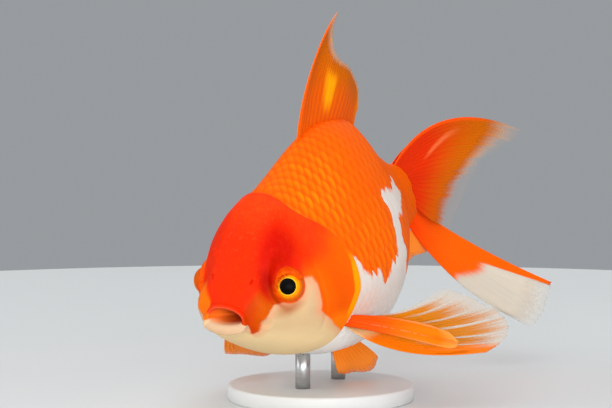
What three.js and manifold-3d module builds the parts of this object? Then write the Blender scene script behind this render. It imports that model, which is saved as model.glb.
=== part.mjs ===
// A goldfish of the fancy, red-capped kind: a still life-size model, nose-down over a small display stand.
//
// Every place on the fish is first given in the fish's own frame, as [left, back, up] in shares of its length:
// "left" is the fish's own left side, "back" runs from the snout (0) to the root of the tail (1), and "up" is
// towards the dorsal fin. The whole fish is then pitched and rolled into its swimming pose. Units: millimetres.

import * as THREE from "three";
import { mergeVertices } from "three/addons/utils/BufferGeometryUtils.js";
import Module from "manifold-3d";

const wasm = await Module();
wasm.setup();

// ---------------------------------------------------------------- driving dimensions

const LENGTH = 80; // snout to the root of the tail
const PITCH = 13.1; // nose down, degrees
const ROLL = 3.8; // left side down, degrees
const GAP = 0.3; // clearance between neighbouring pieces
const FIN_THICK = { root: 1.1, tip: 0.55 };

const BASE = { radius: 20, height: 3.2, bevel: 0.6 };
const CLEARANCE = 19.5; // the base's top lies this far below the snout
const ROD = { radius: 1.6, front: 0.42, rear: 0.62 }; // the places are shares of the length
const FOOT_BACK = 0.52; // the base is centred under this share of the fish's length

const SCALE = LENGTH / 80; // small parts grow with the fish
const EYE = {
  radius: 3.0 * SCALE,
  socket: 3.8 * SCALE,
  left: [0.117, 0.138, 0.037],
  right: [-0.118, 0.138, 0.024],
};
const GILL = { thick: 1.3, low: -58, high: 34, front: 0.215 };
const LIPS = {
  place: [0.004, 0.003, -0.016],
  half: [0.047, 0.024],
  thick: 0.0125,
  tilt: -12,
  cavity: [0.041, 0.045, 0.014],
};
const STEM_AT = 0.84; // where the tail stem parts from the trunk

// ---------------------------------------------------------------- the body's own form

// Cross-sections from snout to tail root, in shares of the length. "belt" is the level of the widest line,
// "ridge" is how much the section narrows towards the back, "keel" the low crest that carries the dorsal fin.
const SECTIONS = [
  { at: 0.0, top: 0.005, belt: -0.015, belly: -0.04, half: 0.03, ridge: 0.0, keel: 0 },
  { at: 0.05, top: 0.072, belt: -0.02, belly: -0.09, half: 0.096, ridge: 0.1, keel: 0 },
  { at: 0.12, top: 0.155, belt: -0.02, belly: -0.137, half: 0.138, ridge: 0.22, keel: 0 },
  { at: 0.2, top: 0.226, belt: -0.022, belly: -0.176, half: 0.172, ridge: 0.3, keel: 0 },
  { at: 0.3, top: 0.268, belt: -0.025, belly: -0.213, half: 0.198, ridge: 0.49, keel: 0 },
  { at: 0.42, top: 0.302, belt: -0.035, belly: -0.26, half: 0.212, ridge: 0.49, keel: 0.02 },
  { at: 0.55, top: 0.33, belt: -0.04, belly: -0.284, half: 0.208, ridge: 0.4, keel: 0.012 },
  { at: 0.67, top: 0.31, belt: -0.03, belly: -0.268, half: 0.182, ridge: 0.34, keel: 0.01 },
  { at: 0.79, top: 0.206, belt: 0.0, belly: -0.19, half: 0.13, ridge: 0.25, keel: 0 },
  { at: 0.9, top: 0.14, belt: 0.03, belly: -0.095, half: 0.068, ridge: 0.1, keel: 0 },
  { at: 1.0, top: 0.107, belt: 0.04, belly: -0.1, half: 0.046, ridge: 0.0, keel: 0 },
];

// The rear edge of the head: the nape, the gill covers and the throat, by the angle from the top of the back.
const HEAD_RIM = [
  { at: 0, back: 0.213 },
  { at: 20, back: 0.224 },
  { at: 35, back: 0.238 },
  { at: 45, back: 0.262 },
  { at: 52, back: 0.288 },
  { at: 61, back: 0.322 },
  { at: 70, back: 0.34 },
  { at: 76, back: 0.35 },
  { at: 84, back: 0.343 },
  { at: 92, back: 0.326 },
  { at: 102, back: 0.308 },
  { at: 115, back: 0.29 },
  { at: 145, back: 0.272 },
  { at: 180, back: 0.25 },
];

const clamp = (x, low = 0, high = 1) => Math.min(high, Math.max(low, x));
const smooth = (x) => clamp(x) ** 2 * (3 - 2 * clamp(x));
const radians = THREE.MathUtils.degToRad;

// A smooth curve through the rows of a table that doesn't overshoot between them.
function curveThrough(rows, column) {
  const x = rows.map((row) => row.at);
  const y = rows.map((row) => row[column]);
  const step = x.slice(1).map((end, i) => end - x[i]);
  const rise = step.map((width, i) => (y[i + 1] - y[i]) / width);
  const slope = x.map((_, i) => {
    if (i === 0) return rise[0];
    if (i === x.length - 1) return rise[i - 1];
    if (rise[i - 1] * rise[i] <= 0) return 0;
    const before = 2 * step[i] + step[i - 1];
    const after = step[i] + 2 * step[i - 1];
    return (before + after) / (before / rise[i - 1] + after / rise[i]);
  });
  return (at) => {
    const i = clamp(x.findLastIndex((start) => start <= at), 0, step.length - 1);
    const u = clamp((at - x[i]) / step[i]);
    const width = step[i];
    return (
      y[i] * (1 + 2 * u) * (1 - u) ** 2 +
      width * slope[i] * u * (1 - u) ** 2 +
      y[i + 1] * u * u * (3 - 2 * u) +
      width * slope[i + 1] * u * u * (u - 1)
    );
  };
}

const section = Object.fromEntries(
  ["top", "belt", "belly", "half", "ridge", "keel"].map((name) => [name, curveThrough(SECTIONS, name)]),
);
const headRim = curveThrough(HEAD_RIM, "back");

// How far round from the top of the back an angle lies, whichever side it is on (angle 0 is the left belt).
const fromTop = (angle) => Math.abs(THREE.MathUtils.euclideanModulo(90 - angle + 180, 360) - 180);

// The body narrows to a rounded end over the first and last few hundredths of its length.
function endRounding(back) {
  const near = clamp(Math.min(back / 0.03, (1 - back) / 0.02));
  return Math.sqrt(near * (2 - near));
}

// The tail stem ends on a slant: its lower half reaches further back.
const STEM_SLANT = 0.3;

// A place on the body, grown outwards by a share of the length; the angle is 0 at the left and 90 at the top.
function bodyPoint(back, angle, grow = 0) {
  const round = endRounding(back);
  const [side, height] = [Math.cos(radians(angle)), Math.sin(radians(angle))];
  const belt = section.belt(back);
  const above = Math.max(height, 0);
  const narrowing = 1 - section.ridge(back) * 1.06 * (above ** 2 / (above + 0.06));
  const half = (section.half(back) + grow) * narrowing;
  const reach = height > 0 ? section.top(back) - belt : belt - section.belly(back);
  const up = belt + height * (reach + grow) * round + section.keel(back) * above ** 16;
  const slant = STEM_SLANT * (up - 0.03 + Math.min(up - 0.03, 0)) * smooth((back - STEM_AT) / (1 - STEM_AT));
  return [side * half * round, back - slant, up];
}

// The cap of soft growth on the crown and the fullness of the gill covers, over the plain body form.
function headGrowth(back, angle) {
  const high = smooth((78 - fromTop(angle)) / 42);
  const towardsNape = 1 - 0.4 * smooth((back - 0.17) / 0.07);
  const cap = 0.016 * high * smooth((back - 0.04) / 0.1) * towardsNape;
  const throat = 1 - 0.5 * smooth((fromTop(angle) - 130) / 35);
  const gill = 0.012 * (1 - high) * smooth((back - 0.1) / 0.15) * throat;
  return cap + gill;
}

// ---------------------------------------------------------------- solids from bent simple forms

// The geometry as a solid, with its shared vertices merged and its faces turned outwards.
function solid(geometry) {
  const bare = geometry.clone();
  bare.deleteAttribute("normal");
  bare.deleteAttribute("uv");
  const merged = mergeVertices(bare, 1e-4);
  const vertProperties = merged.attributes.position.array;
  const triVerts = new Uint32Array(merged.index.array);
  const made = new wasm.Manifold(new wasm.Mesh({ numProp: 3, vertProperties, triVerts }));
  if (made.volume() > 0) return made;
  return new wasm.Manifold(new wasm.Mesh({ numProp: 3, vertProperties, triVerts: triVerts.reverse() }));
}

function geometryOf(made) {
  const { vertProperties, triVerts, numProp } = made.getMesh();
  const places = new Float32Array((vertProperties.length / numProp) * 3);
  for (let i = 0; i < places.length / 3; i++)
    places.set(vertProperties.subarray(i * numProp, i * numProp + 3), i * 3);
  const geometry = new THREE.BufferGeometry()
    .setAttribute("position", new THREE.BufferAttribute(places, 3))
    .setIndex(new THREE.BufferAttribute(triVerts, 1))
    .toNonIndexed();
  geometry.computeVertexNormals();
  return geometry;
}

// Moves every vertex of a geometry to the fish place that "placeOf" gives for it, in millimetres.
function bent(geometry, placeOf) {
  const position = geometry.attributes.position;
  for (let i = 0; i < position.count; i++) {
    const place = placeOf(position.getX(i), position.getY(i), position.getZ(i));
    position.setXYZ(i, ...place.map((share) => share * LENGTH));
  }
  return solid(geometry);
}

// A closed shell from a sphere whose upper pole is at the front: placeOf gets the share of the way from front
// to rear pole, on a cosine, and the angle round.
function shell(around, along, placeOf) {
  return bent(new THREE.SphereGeometry(1, around, along), (x, y, z) =>
    placeOf((1 - y) / 2, THREE.MathUtils.radToDeg(Math.atan2(-z, x))),
  );
}

function ball(radius, [left, back, up], around = 14) {
  const geometry = new THREE.SphereGeometry(radius, around, Math.round(around * 0.7));
  return solid(geometry.translate(left * LENGTH, back * LENGTH, up * LENGTH));
}

const mirrored = ([left, back, up]) => [-left, back, up];

// ---------------------------------------------------------------- head, trunk and tail stem

function wholeBody(grow = 0) {
  const spare = grow / LENGTH;
  return shell(28, 28, (share, angle) => {
    const [left, back, up] = bodyPoint(share, angle, spare);
    return [left, back + (2 * share - 1) * spare, up];
  });
}

// The head as a closed mask: its outer face runs from the snout to the rim, and a shallow cap closes it inside.
function headMask(grow = 0) {
  const spare = grow / LENGTH;
  const outerShare = 0.86;
  const capCentre = 0.27 + spare;
  return shell(32, 18, (share, angle) => {
    const rim = headRim(fromTop(angle)) + spare;
    const back = clamp(share / outerShare) * rim;
    const [left, , up] = bodyPoint(back, angle, headGrowth(back, angle) + spare);
    const inwards = clamp((share - outerShare) / (1 - outerShare));
    const centre = section.belt(capCentre);
    const forward = spare * (1 - smooth(back / 0.05));
    return [
      left * (1 - inwards),
      THREE.MathUtils.lerp(back, capCentre, inwards) - forward,
      THREE.MathUtils.lerp(up, centre, inwards),
    ];
  });
}

// A gill cover: a curved plate let into the side of the head, from the cheek to the rim.
function gillCover(side, grow = 0) {
  const spare = grow / LENGTH;
  return bent(new THREE.BoxGeometry(1, 1, 1, 10, 4, 1), (a, b, c) => {
    const angle = THREE.MathUtils.lerp(GILL.low - grow * 3, GILL.high + grow * 3, a + 0.5);
    const middle = Math.abs(a) * 2;
    const front = GILL.front + 0.045 * middle ** 2 - spare;
    const rear = headRim(fromTop(angle)) + 0.001 + spare;
    const back = THREE.MathUtils.lerp(front, Math.max(rear, front + 0.01), b + 0.5);
    const outer = headGrowth(back, angle) + 0.002 + spare * 2;
    const inner = headGrowth(back, angle) - GILL.thick / LENGTH - spare;
    const [left, , up] = bodyPoint(back, angle, c > 0 ? outer : inner);
    return [side * left, back, up];
  });
}

function lipRing(grow = 0) {
  const tilt = radians(LIPS.tilt);
  const geometry = new THREE.TorusGeometry(2, 1, 7, 18);
  return bent(geometry, (x, y, z) => {
    const angle = Math.atan2(y, x);
    const across = Math.hypot(x, y) - 2; // -1 to 1 across the ring's own thickness
    const fatness = LIPS.thick * (1.15 - 0.35 * Math.sin(angle)) + grow / LENGTH;
    const left = (LIPS.half[0] + across * fatness) * Math.cos(angle);
    const rise = (LIPS.half[1] + across * fatness) * Math.sin(angle);
    const depth = -z * fatness;
    return [
      left,
      LIPS.place[1] + depth * Math.cos(tilt) - rise * Math.sin(tilt),
      LIPS.place[2] + rise * Math.cos(tilt) + depth * Math.sin(tilt),
    ];
  });
}

// ---------------------------------------------------------------- fins

// A fin is a bent sheet through its guide rays, from the leading ray to the trailing one. Each ray is
// [root, middle, tip]; the sheet thins from root to tip.
function fin(rays, across, along) {
  const guides = [0, 1, 2].map(
    (i) => new THREE.CatmullRomCurve3(rays.map((ray) => new THREE.Vector3(...ray[i]))),
  );
  const sheet = (a, r) => {
    const [root, middle, tip] = guides.map((guide) => guide.getPoint(clamp(a)));
    return root
      .multiplyScalar((1 - r) * (1 - 2 * r))
      .addScaledVector(middle, 4 * r * (1 - r))
      .addScaledVector(tip, r * (2 * r - 1));
  };
  const small = 1e-3;
  return bent(new THREE.BoxGeometry(1, 1, 1, across, along, 1), (x, y, z) => {
    const [a, r] = [x + 0.5, y + 0.5];
    const [a0, r0] = [clamp(a, small, 1 - small), clamp(r, small, 1 - small)];
    const alongRay = sheet(a0, r0 + small).sub(sheet(a0, r0 - small));
    const acrossRays = sheet(a0 + small, r0).sub(sheet(a0 - small, r0));
    const normal = acrossRays.cross(alongRay).normalize();
    const half = THREE.MathUtils.lerp(FIN_THICK.root, FIN_THICK.tip, smooth(r * 1.6)) / 2 / LENGTH;
    return sheet(a, r).addScaledVector(normal, Math.sign(z) * half).toArray();
  });
}

const mirroredRays = (rays) => rays.map((ray) => ray.map(mirrored));

const DORSAL = [
  [[0, 0.415, 0.29], [0, 0.51, 0.477], [0, 0.687, 0.609]],
  [[0, 0.47, 0.3], [-0.012, 0.56, 0.455], [-0.012, 0.668, 0.55]],
  [[0, 0.54, 0.3], [0, 0.605, 0.415], [0, 0.66, 0.5]],
  [[0, 0.61, 0.285], [0.012, 0.67, 0.39], [0.012, 0.715, 0.452]],
  [[0, 0.67, 0.26], [0.006, 0.725, 0.345], [0.006, 0.765, 0.39]],
  [[0, 0.715, 0.235], [0, 0.745, 0.295], [0, 0.765, 0.33]],
];

const TAIL_UPPER_LEFT = [
  [[0.006, 0.935, 0.096], [0.085, 1.127, 0.202], [0.2, 1.424, 0.106]],
  [[0.009, 0.945, 0.084], [0.09, 1.135, 0.15], [0.19, 1.335, 0.089]],
  [[0.011, 0.953, 0.07], [0.08, 1.08, 0.085], [0.165, 1.215, 0.07]],
  [[0.012, 0.962, 0.052], [0.067, 1.055, 0.022], [0.142, 1.146, 0.002]],
  [[0.012, 0.97, 0.036], [0.06, 1.03, -0.037], [0.102, 1.092, -0.105]],
];

const TAIL_LOWER_LEFT = [
  [[0.014, 0.97, 0.034], [0.1, 1.15, -0.145], [0.3, 1.383, -0.346]],
  [[0.016, 0.97, 0.02], [0.1, 1.115, -0.168], [0.3, 1.359, -0.366]],
  [[0.016, 0.97, 0.008], [0.1, 1.1, -0.185], [0.29, 1.33, -0.43]],
  [[0.014, 0.97, -0.006], [0.09, 1.09, -0.209], [0.28, 1.272, -0.448]],
  [[0.01, 0.965, -0.022], [0.09, 1.088, -0.234], [0.24, 1.19, -0.395]],
];

const TAIL_UPPER_RIGHT = [
  [[-0.006, 0.935, 0.09], [0.026, 1.13, 0.155], [0.1, 1.4, 0.1]],
  [[-0.009, 0.945, 0.078], [0.018, 1.12, 0.12], [0.09, 1.33, 0.08]],
  [[-0.011, 0.953, 0.066], [0.004, 1.08, 0.07], [0.06, 1.215, 0.058]],
  [[-0.012, 0.962, 0.053], [-0.012, 1.05, 0.03], [0.01, 1.145, 0.008]],
  [[-0.012, 0.97, 0.04], [-0.025, 1.02, -0.008], [-0.03, 1.08, -0.07]],
];

const ANAL_LEFT = [
  [[0.012, 0.82, -0.12], [0.024, 0.885, -0.165], [0.034, 0.95, -0.177]],
  [[0.012, 0.86, -0.08], [0.024, 0.93, -0.13], [0.037, 1.0, -0.17]],
  [[0.01, 0.9, -0.045], [0.022, 0.97, -0.115], [0.042, 1.062, -0.178]],
  [[0.01, 0.94, -0.035], [0.02, 1.0, -0.092], [0.04, 1.07, -0.152]],
];

const PELVIC_LEFT = [
  [[0.062, 0.43, -0.225], [0.064, 0.447, -0.285], [0.06, 0.465, -0.335]],
  [[0.066, 0.45, -0.225], [0.078, 0.485, -0.295], [0.076, 0.525, -0.345]],
  [[0.07, 0.475, -0.225], [0.096, 0.52, -0.292], [0.102, 0.572, -0.35]],
  [[0.075, 0.5, -0.225], [0.115, 0.545, -0.275], [0.127, 0.59, -0.328]],
];

// The right one trails, close under the belly.
const PELVIC_RIGHT = [
  [[-0.06, 0.475, -0.23], [-0.06, 0.525, -0.285], [-0.055, 0.585, -0.322]],
  [[-0.062, 0.49, -0.23], [-0.064, 0.545, -0.282], [-0.058, 0.61, -0.32]],
  [[-0.065, 0.505, -0.23], [-0.07, 0.56, -0.278], [-0.066, 0.625, -0.312]],
  [[-0.068, 0.52, -0.23], [-0.08, 0.575, -0.268], [-0.08, 0.63, -0.298]],
];

// The left pectoral fin is held out to the side and curls: its front blade lies before the open fan.
const PECTORAL_LEFT = [
  [[0.165, 0.315, -0.095], [0.3, 0.361, -0.105], [0.45, 0.386, -0.138]],
  [[0.17, 0.307, -0.115], [0.305, 0.352, -0.146], [0.45, 0.388, -0.178]],
  [[0.168, 0.318, -0.13], [0.3, 0.395, -0.208], [0.47, 0.53, -0.235]],
  [[0.165, 0.342, -0.133], [0.325, 0.458, -0.192], [0.505, 0.6, -0.197]],
  [[0.165, 0.352, -0.127], [0.315, 0.472, -0.168], [0.48, 0.6, -0.145]],
  [[0.165, 0.36, -0.12], [0.29, 0.467, -0.145], [0.415, 0.565, -0.1]],
  [[0.165, 0.366, -0.11], [0.26, 0.457, -0.122], [0.34, 0.54, -0.072]],
];

// The right one is swept down and back in its stroke.
const PECTORAL_RIGHT = [
  [[-0.16, 0.32, -0.105], [-0.235, 0.39, -0.226], [-0.278, 0.448, -0.307]],
  [[-0.16, 0.328, -0.115], [-0.228, 0.41, -0.246], [-0.252, 0.475, -0.32]],
  [[-0.16, 0.336, -0.125], [-0.21, 0.425, -0.258], [-0.225, 0.51, -0.33]],
  [[-0.16, 0.344, -0.133], [-0.19, 0.425, -0.256], [-0.19, 0.54, -0.332]],
  [[-0.16, 0.35, -0.14], [-0.18, 0.425, -0.235], [-0.165, 0.54, -0.3]],
];

// ---------------------------------------------------------------- the pieces and their finishes

const FINISH = {
  red_skin: { color: 0xf23a12, roughness: 0.42, metalness: 0 },
  orange_skin: { color: 0xf97a0c, roughness: 0.38, metalness: 0 },
  fin: { color: 0xf98a1e, roughness: 0.4, metalness: 0 },
  lips: { color: 0xf2cdb4, roughness: 0.4, metalness: 0 },
  eye: { color: 0xe6a51a, roughness: 0.12, metalness: 0 },
  stand: { color: 0xc9c8c4, roughness: 0.5, metalness: 0 },
  rod: { color: 0xb4b6b8, roughness: 0.3, metalness: 1 },
};
const materials = Object.fromEntries(
  Object.entries(FINISH).map(([name, look]) => [name, new THREE.MeshStandardMaterial(look)]),
);

function piece(name, made, finish) {
  const mesh = new THREE.Mesh(geometryOf(made), materials[finish]);
  mesh.name = name;
  return mesh;
}

function fishPieces() {
  const gills = [gillCover(1), gillCover(-1)];
  const eyes = [ball(EYE.radius, EYE.left), ball(EYE.radius, EYE.right)];
  const body = without(wholeBody(), headMask(GAP), ...GROWN_GILLS);
  const [trunk, stem] = cutAcross(body, STEM_AT);
  return [
    piece("head", headWithSockets(), "red_skin"),
    piece("lips", without(lipRing(), mouthCavity()), "lips"),
    piece("gill_cover_left", gills[0], "red_skin"),
    piece("gill_cover_right", gills[1], "red_skin"),
    piece("eye_left", eyes[0], "eye"),
    piece("eye_right", eyes[1], "eye"),
    piece("trunk", trunk, "orange_skin"),
    piece("tail_stem", stem, "orange_skin"),
    finPiece("dorsal_fin", DORSAL, 12, 6),
    finPiece("tail_fin_upper_left", TAIL_UPPER_LEFT, 8, 6),
    finPiece("tail_fin_lower_left", TAIL_LOWER_LEFT, 8, 6),
    finPiece("tail_fin_upper_right", TAIL_UPPER_RIGHT, 8, 6),
    finPiece("tail_fin_lower_right", mirroredRays(TAIL_LOWER_LEFT), 8, 6),
    finPiece("anal_fin_left", ANAL_LEFT, 6, 4),
    finPiece("anal_fin_right", mirroredRays(ANAL_LEFT), 6, 4),
    finPiece("pelvic_fin_left", PELVIC_LEFT, 6, 5),
    finPiece("pelvic_fin_right", PELVIC_RIGHT, 6, 5),
    finPiece("pectoral_fin_left", PECTORAL_LEFT, 16, 6),
    finPiece("pectoral_fin_right", PECTORAL_RIGHT, 8, 6),
  ];
}

// Everything that a fin has to stay clear of, grown by the gap.
const GROWN_GILLS = [gillCover(1, GAP), gillCover(-1, GAP)];
const GROWN_FLESH = [wholeBody(GAP), headMask(GAP), ...GROWN_GILLS];

// What is left of a solid after the others are cut from it, without loose chips.
function without(made, ...others) {
  const left = others.reduce((rest, other) => rest.subtract(other), made);
  return left.decompose().sort((a, b) => b.volume() - a.volume())[0];
}

function finPiece(name, rays, across, along) {
  return piece(name, without(fin(rays, across, along), ...GROWN_FLESH), "fin");
}

function headWithSockets() {
  const rings = [EYE.left, EYE.right].map((place) => ball(EYE.socket, socketPlace(place)));
  const balls = [EYE.left, EYE.right].map((place) => ball(EYE.radius + GAP, place));
  const full = rings.reduce((sum, ring) => sum.add(ring), headMask());
  return without(full, ...balls, lipRing(GAP), mouthCavity(), ...GROWN_GILLS);
}

// The soft ring round the eye stands behind the ball, so that the ball shows in front of it.
const socketPlace = ([left, back, up]) => [left * 0.9, back + 0.006, up];

function mouthCavity() {
  const half = LIPS.cavity;
  return bent(new THREE.SphereGeometry(1, 12, 8), (x, y, z) => [
    x * half[0],
    LIPS.place[1] - y * half[1],
    LIPS.place[2] - z * half[2],
  ]);
}

// Parts a solid square across the fish, with a thin gap between the two.
function cutAcross(made, back) {
  const block = new THREE.BoxGeometry(4 * LENGTH, 4 * LENGTH, 4 * LENGTH);
  const shift = 2 * LENGTH + GAP / 2;
  const behind = solid(block.clone().translate(0, back * LENGTH + shift, 0));
  const before = solid(block.clone().translate(0, back * LENGTH - shift, 0));
  return [made.intersect(before), made.intersect(behind)];
}

// ---------------------------------------------------------------- pose and stand

const fish = new THREE.Group();
fish.add(...fishPieces());
fish.rotation.set(radians(PITCH), radians(ROLL), 0, "XYZ");
fish.position.z = BASE.height + CLEARANCE;
fish.updateMatrix();
const middle = new THREE.Vector3(0, FOOT_BACK * LENGTH, 0).applyMatrix4(fish.matrix);
fish.position.x -= middle.x;
fish.position.y -= middle.y;
fish.updateMatrix();

function standBase() {
  const { radius, height, bevel } = BASE;
  const profile = [
    [0, 0],
    [radius, 0],
    [radius, height - bevel],
    [radius - bevel, height],
    [0, height],
  ].map(([r, z]) => new THREE.Vector2(r, z));
  return solid(new THREE.LatheGeometry(profile, 48).rotateX(Math.PI / 2));
}

// A rod stands on the base and ends just under the belly, shaped to it.
function standRod(backShare) {
  const foot = new THREE.Vector3(0, backShare * LENGTH, 0).applyMatrix4(fish.matrix);
  const length = CLEARANCE;
  const rod = new THREE.CylinderGeometry(ROD.radius, ROD.radius, length, 18)
    .rotateX(Math.PI / 2)
    .translate(foot.x, foot.y, BASE.height + GAP + length / 2);
  const grown = wholeBody(GAP).transform(fish.matrix.elements);
  return solid(rod)
    .subtract(grown)
    .decompose()
    .sort((a, b) => a.boundingBox().min[2] - b.boundingBox().min[2])[0];
}

const model = new THREE.Group();
model.add(
  fish,
  piece("stand_base", standBase(), "stand"),
  piece("stand_rod_front", standRod(ROD.front), "rod"),
  piece("stand_rod_rear", standRod(ROD.rear), "rod"),
);

export default model;
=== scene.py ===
# %% [markdown]
# # A goldfish on a display stand
# The fish is one still, life-size model. This lesson gives the plain solids their living look: one moist skin with
# lips, nostrils and gill edge, overlapping scales, rayed fins that clear towards their margins, and wet eyes.
# Everything on the fish is placed in the fish's own frame, in shares of its length: left, back and up from the snout.
# A last turn then poses every point, so that each piece stays easy to think about.

# %% Load the frame
import math

import bmesh
import bpy
import numpy as np
from mathutils import Matrix, Vector, noise


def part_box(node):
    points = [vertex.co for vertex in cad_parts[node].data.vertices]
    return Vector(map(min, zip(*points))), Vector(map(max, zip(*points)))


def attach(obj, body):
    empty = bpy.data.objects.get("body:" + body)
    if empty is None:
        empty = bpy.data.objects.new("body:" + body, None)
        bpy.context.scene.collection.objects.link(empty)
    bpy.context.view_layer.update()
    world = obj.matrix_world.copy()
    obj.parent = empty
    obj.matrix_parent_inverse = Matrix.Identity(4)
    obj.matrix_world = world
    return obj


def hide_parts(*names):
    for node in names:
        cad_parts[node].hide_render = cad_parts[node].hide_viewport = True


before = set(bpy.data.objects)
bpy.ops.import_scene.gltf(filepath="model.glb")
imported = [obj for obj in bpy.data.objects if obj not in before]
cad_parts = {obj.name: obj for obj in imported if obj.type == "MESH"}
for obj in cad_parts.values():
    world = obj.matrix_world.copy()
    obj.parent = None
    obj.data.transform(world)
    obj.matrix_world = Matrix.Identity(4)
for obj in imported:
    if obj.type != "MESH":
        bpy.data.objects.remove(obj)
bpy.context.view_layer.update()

# %% [markdown]
# ## The fish's frame
# A real fish is measured from the snout to the root of its tail. Taking that length as 1 makes the sizes of a fish
# of any age alike. The pose is two turns, nose down and a little onto the left side, about the snout.

# %% Pose
LENGTH = 0.080
PITCH = math.radians(13.1)
ROLL = math.radians(3.8)
SNOUT_ABOVE_BASE = 0.0195
FOOT_BACK = 0.52
MM = 0.001 / LENGTH  # one millimetre, as a share of the length

base_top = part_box("stand_base")[1].z
snout = Vector((0, -FOOT_BACK * LENGTH * math.cos(PITCH), base_top + SNOUT_ABOVE_BASE))
turn = Matrix.Rotation(PITCH, 3, "X") @ Matrix.Rotation(ROLL, 3, "Y")


def posed(places):
    """Places in the fish's frame, as shares of its length, to metres in the model's frame."""
    return (np.asarray(places) * LENGTH) @ np.array(turn).T + np.array(snout)


def posed_point(place):
    return Vector(posed(np.array([place]))[0])


print("snout at", [round(v, 4) for v in snout])

# %% [markdown]
# ## The form of the body
# The flesh is one loft through a handful of cross-sections. Each has a top, a belly, a half-width and the level of
# its widest line, narrows towards the back by its ridge, and rises in a low keel under the fin of the back. A curve
# through them that never overshoots keeps the outline calm. The plain solids come from the same sections.

# %% Sections
SECTIONS = {
    "at": [0, 0.05, 0.12, 0.2, 0.3, 0.42, 0.55, 0.67, 0.79, 0.9, 1],
    "top": [0.005, 0.072, 0.155, 0.226, 0.268, 0.302, 0.33, 0.31, 0.206, 0.14, 0.107],
    "belt": [-0.015, -0.02, -0.02, -0.022, -0.025, -0.035, -0.04, -0.03, 0, 0.03, 0.04],
    "belly": [-0.04, -0.09, -0.137, -0.176, -0.213, -0.26, -0.284, -0.268, -0.19, -0.095, -0.1],
    "half": [0.03, 0.096, 0.138, 0.172, 0.198, 0.212, 0.208, 0.182, 0.13, 0.068, 0.046],
    "ridge": [0, 0.1, 0.22, 0.3, 0.49, 0.49, 0.4, 0.34, 0.25, 0.1, 0],
    "keel": [0, 0, 0, 0, 0, 0.02, 0.012, 0.01, 0, 0, 0],
}
GILL_RIM = {
    "at": [0, 20, 35, 45, 52, 61, 70, 76, 84, 92, 102, 115, 145, 180],
    "back": [0.213, 0.224, 0.238, 0.262, 0.288, 0.322, 0.34, 0.35, 0.343, 0.326, 0.308, 0.29, 0.272, 0.25],
}


def curve_through(places, heights):
    """A smooth curve through places that rises and falls only where they do."""
    x, y = np.array(places, float), np.array(heights, float)
    width, rise = np.diff(x), np.diff(y) / np.diff(x)
    slope = np.zeros(len(x))
    slope[0], slope[-1] = rise[0], rise[-1]
    for i in range(1, len(x) - 1):
        if rise[i - 1] * rise[i] > 0:
            before = 2 * width[i] + width[i - 1]
            after = width[i] + 2 * width[i - 1]
            slope[i] = (before + after) / (before / rise[i - 1] + after / rise[i])

    def at(where):
        i = np.clip(np.searchsorted(x, where, "right") - 1, 0, len(width) - 1)
        u = np.clip((where - x[i]) / width[i], 0, 1)
        return (
            y[i] * (1 + 2 * u) * (1 - u) ** 2
            + width[i] * slope[i] * u * (1 - u) ** 2
            + y[i + 1] * u * u * (3 - 2 * u)
            + width[i] * slope[i + 1] * u * u * (u - 1)
        )

    return at


STEM_SLANT = 0.3  # the tail stem's lower half reaches further back
ROUND_SNOUT, ROUND_STEM = 0.03, 0.02  # how far from each end its rounding starts
KEEL_SHARPNESS = 16
CAP_HEIGHT, GILL_HEIGHT = 0.016, 0.012
section = {name: curve_through(SECTIONS["at"], SECTIONS[name]) for name in SECTIONS if name != "at"}
gill_rim = curve_through(GILL_RIM["at"], GILL_RIM["back"])


def ease(value, start=0.0, end=1.0):
    """0 before start, 1 after end, and smooth between; start may be the larger."""
    u = np.clip((value - start) / (end - start), 0, 1)
    return u * u * (3 - 2 * u)


def from_top(angle):
    """Degrees round from the ridge of the back, on whichever side."""
    return np.abs((90 - angle + 180) % 360 - 180)


def body_place(back, angle, grow=0.0):
    """A place on the flesh: angle 0 is the left belt, 90 the ridge. Both ends are rounded, the rear one slants."""
    near = np.clip(np.minimum(back / ROUND_SNOUT, (1 - back) / ROUND_STEM), 0, 1)
    rounding = np.sqrt(near * (2 - near))
    side, height = np.cos(np.radians(angle)), np.sin(np.radians(angle))
    belt = section["belt"](back)
    above = np.maximum(height, 0)
    half = (section["half"](back) + grow) * (1 - section["ridge"](back) * 1.06 * above**2 / (above + 0.06))
    reach = np.where(height > 0, section["top"](back) - belt, belt - section["belly"](back))
    up = belt + height * (reach + grow) * rounding + section["keel"](back) * above**KEEL_SHARPNESS
    slant = STEM_SLANT * (up - 0.03 + np.minimum(up - 0.03, 0)) * ease(back, 0.84, 1)
    return np.stack([side * half * rounding, back - slant, up], -1)


def head_growth(back, angle):
    """How far the soft cap and the gill covers stand out from the plain body."""
    high = ease(78 - from_top(angle), 0, 42)
    towards_nape = 1 - 0.4 * ease(back, 0.17, 0.24)
    cap = CAP_HEIGHT * high * ease(back, 0.04, 0.14) * towards_nape
    low = ease(from_top(angle), 130, 165)
    gill = GILL_HEIGHT * (1 - high) * ease(back, 0.1, 0.25) * (1 - 0.5 * low)
    return cap + gill


print("girth at the middle, mm:", round(2 * section["half"](0.5) / MM, 1), "wide")

# %% [markdown]
# ## Markings
# The coat's patches are drawn once, as loops on the unrolled left side: back along the body, and degrees up from the
# belt. Skin and scales both measure their distance to these loops, so a patch runs on unbroken from one to the other.
# A distance, not a yes or no, lets the finish make each edge as soft or as toothed as it should be.

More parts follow.
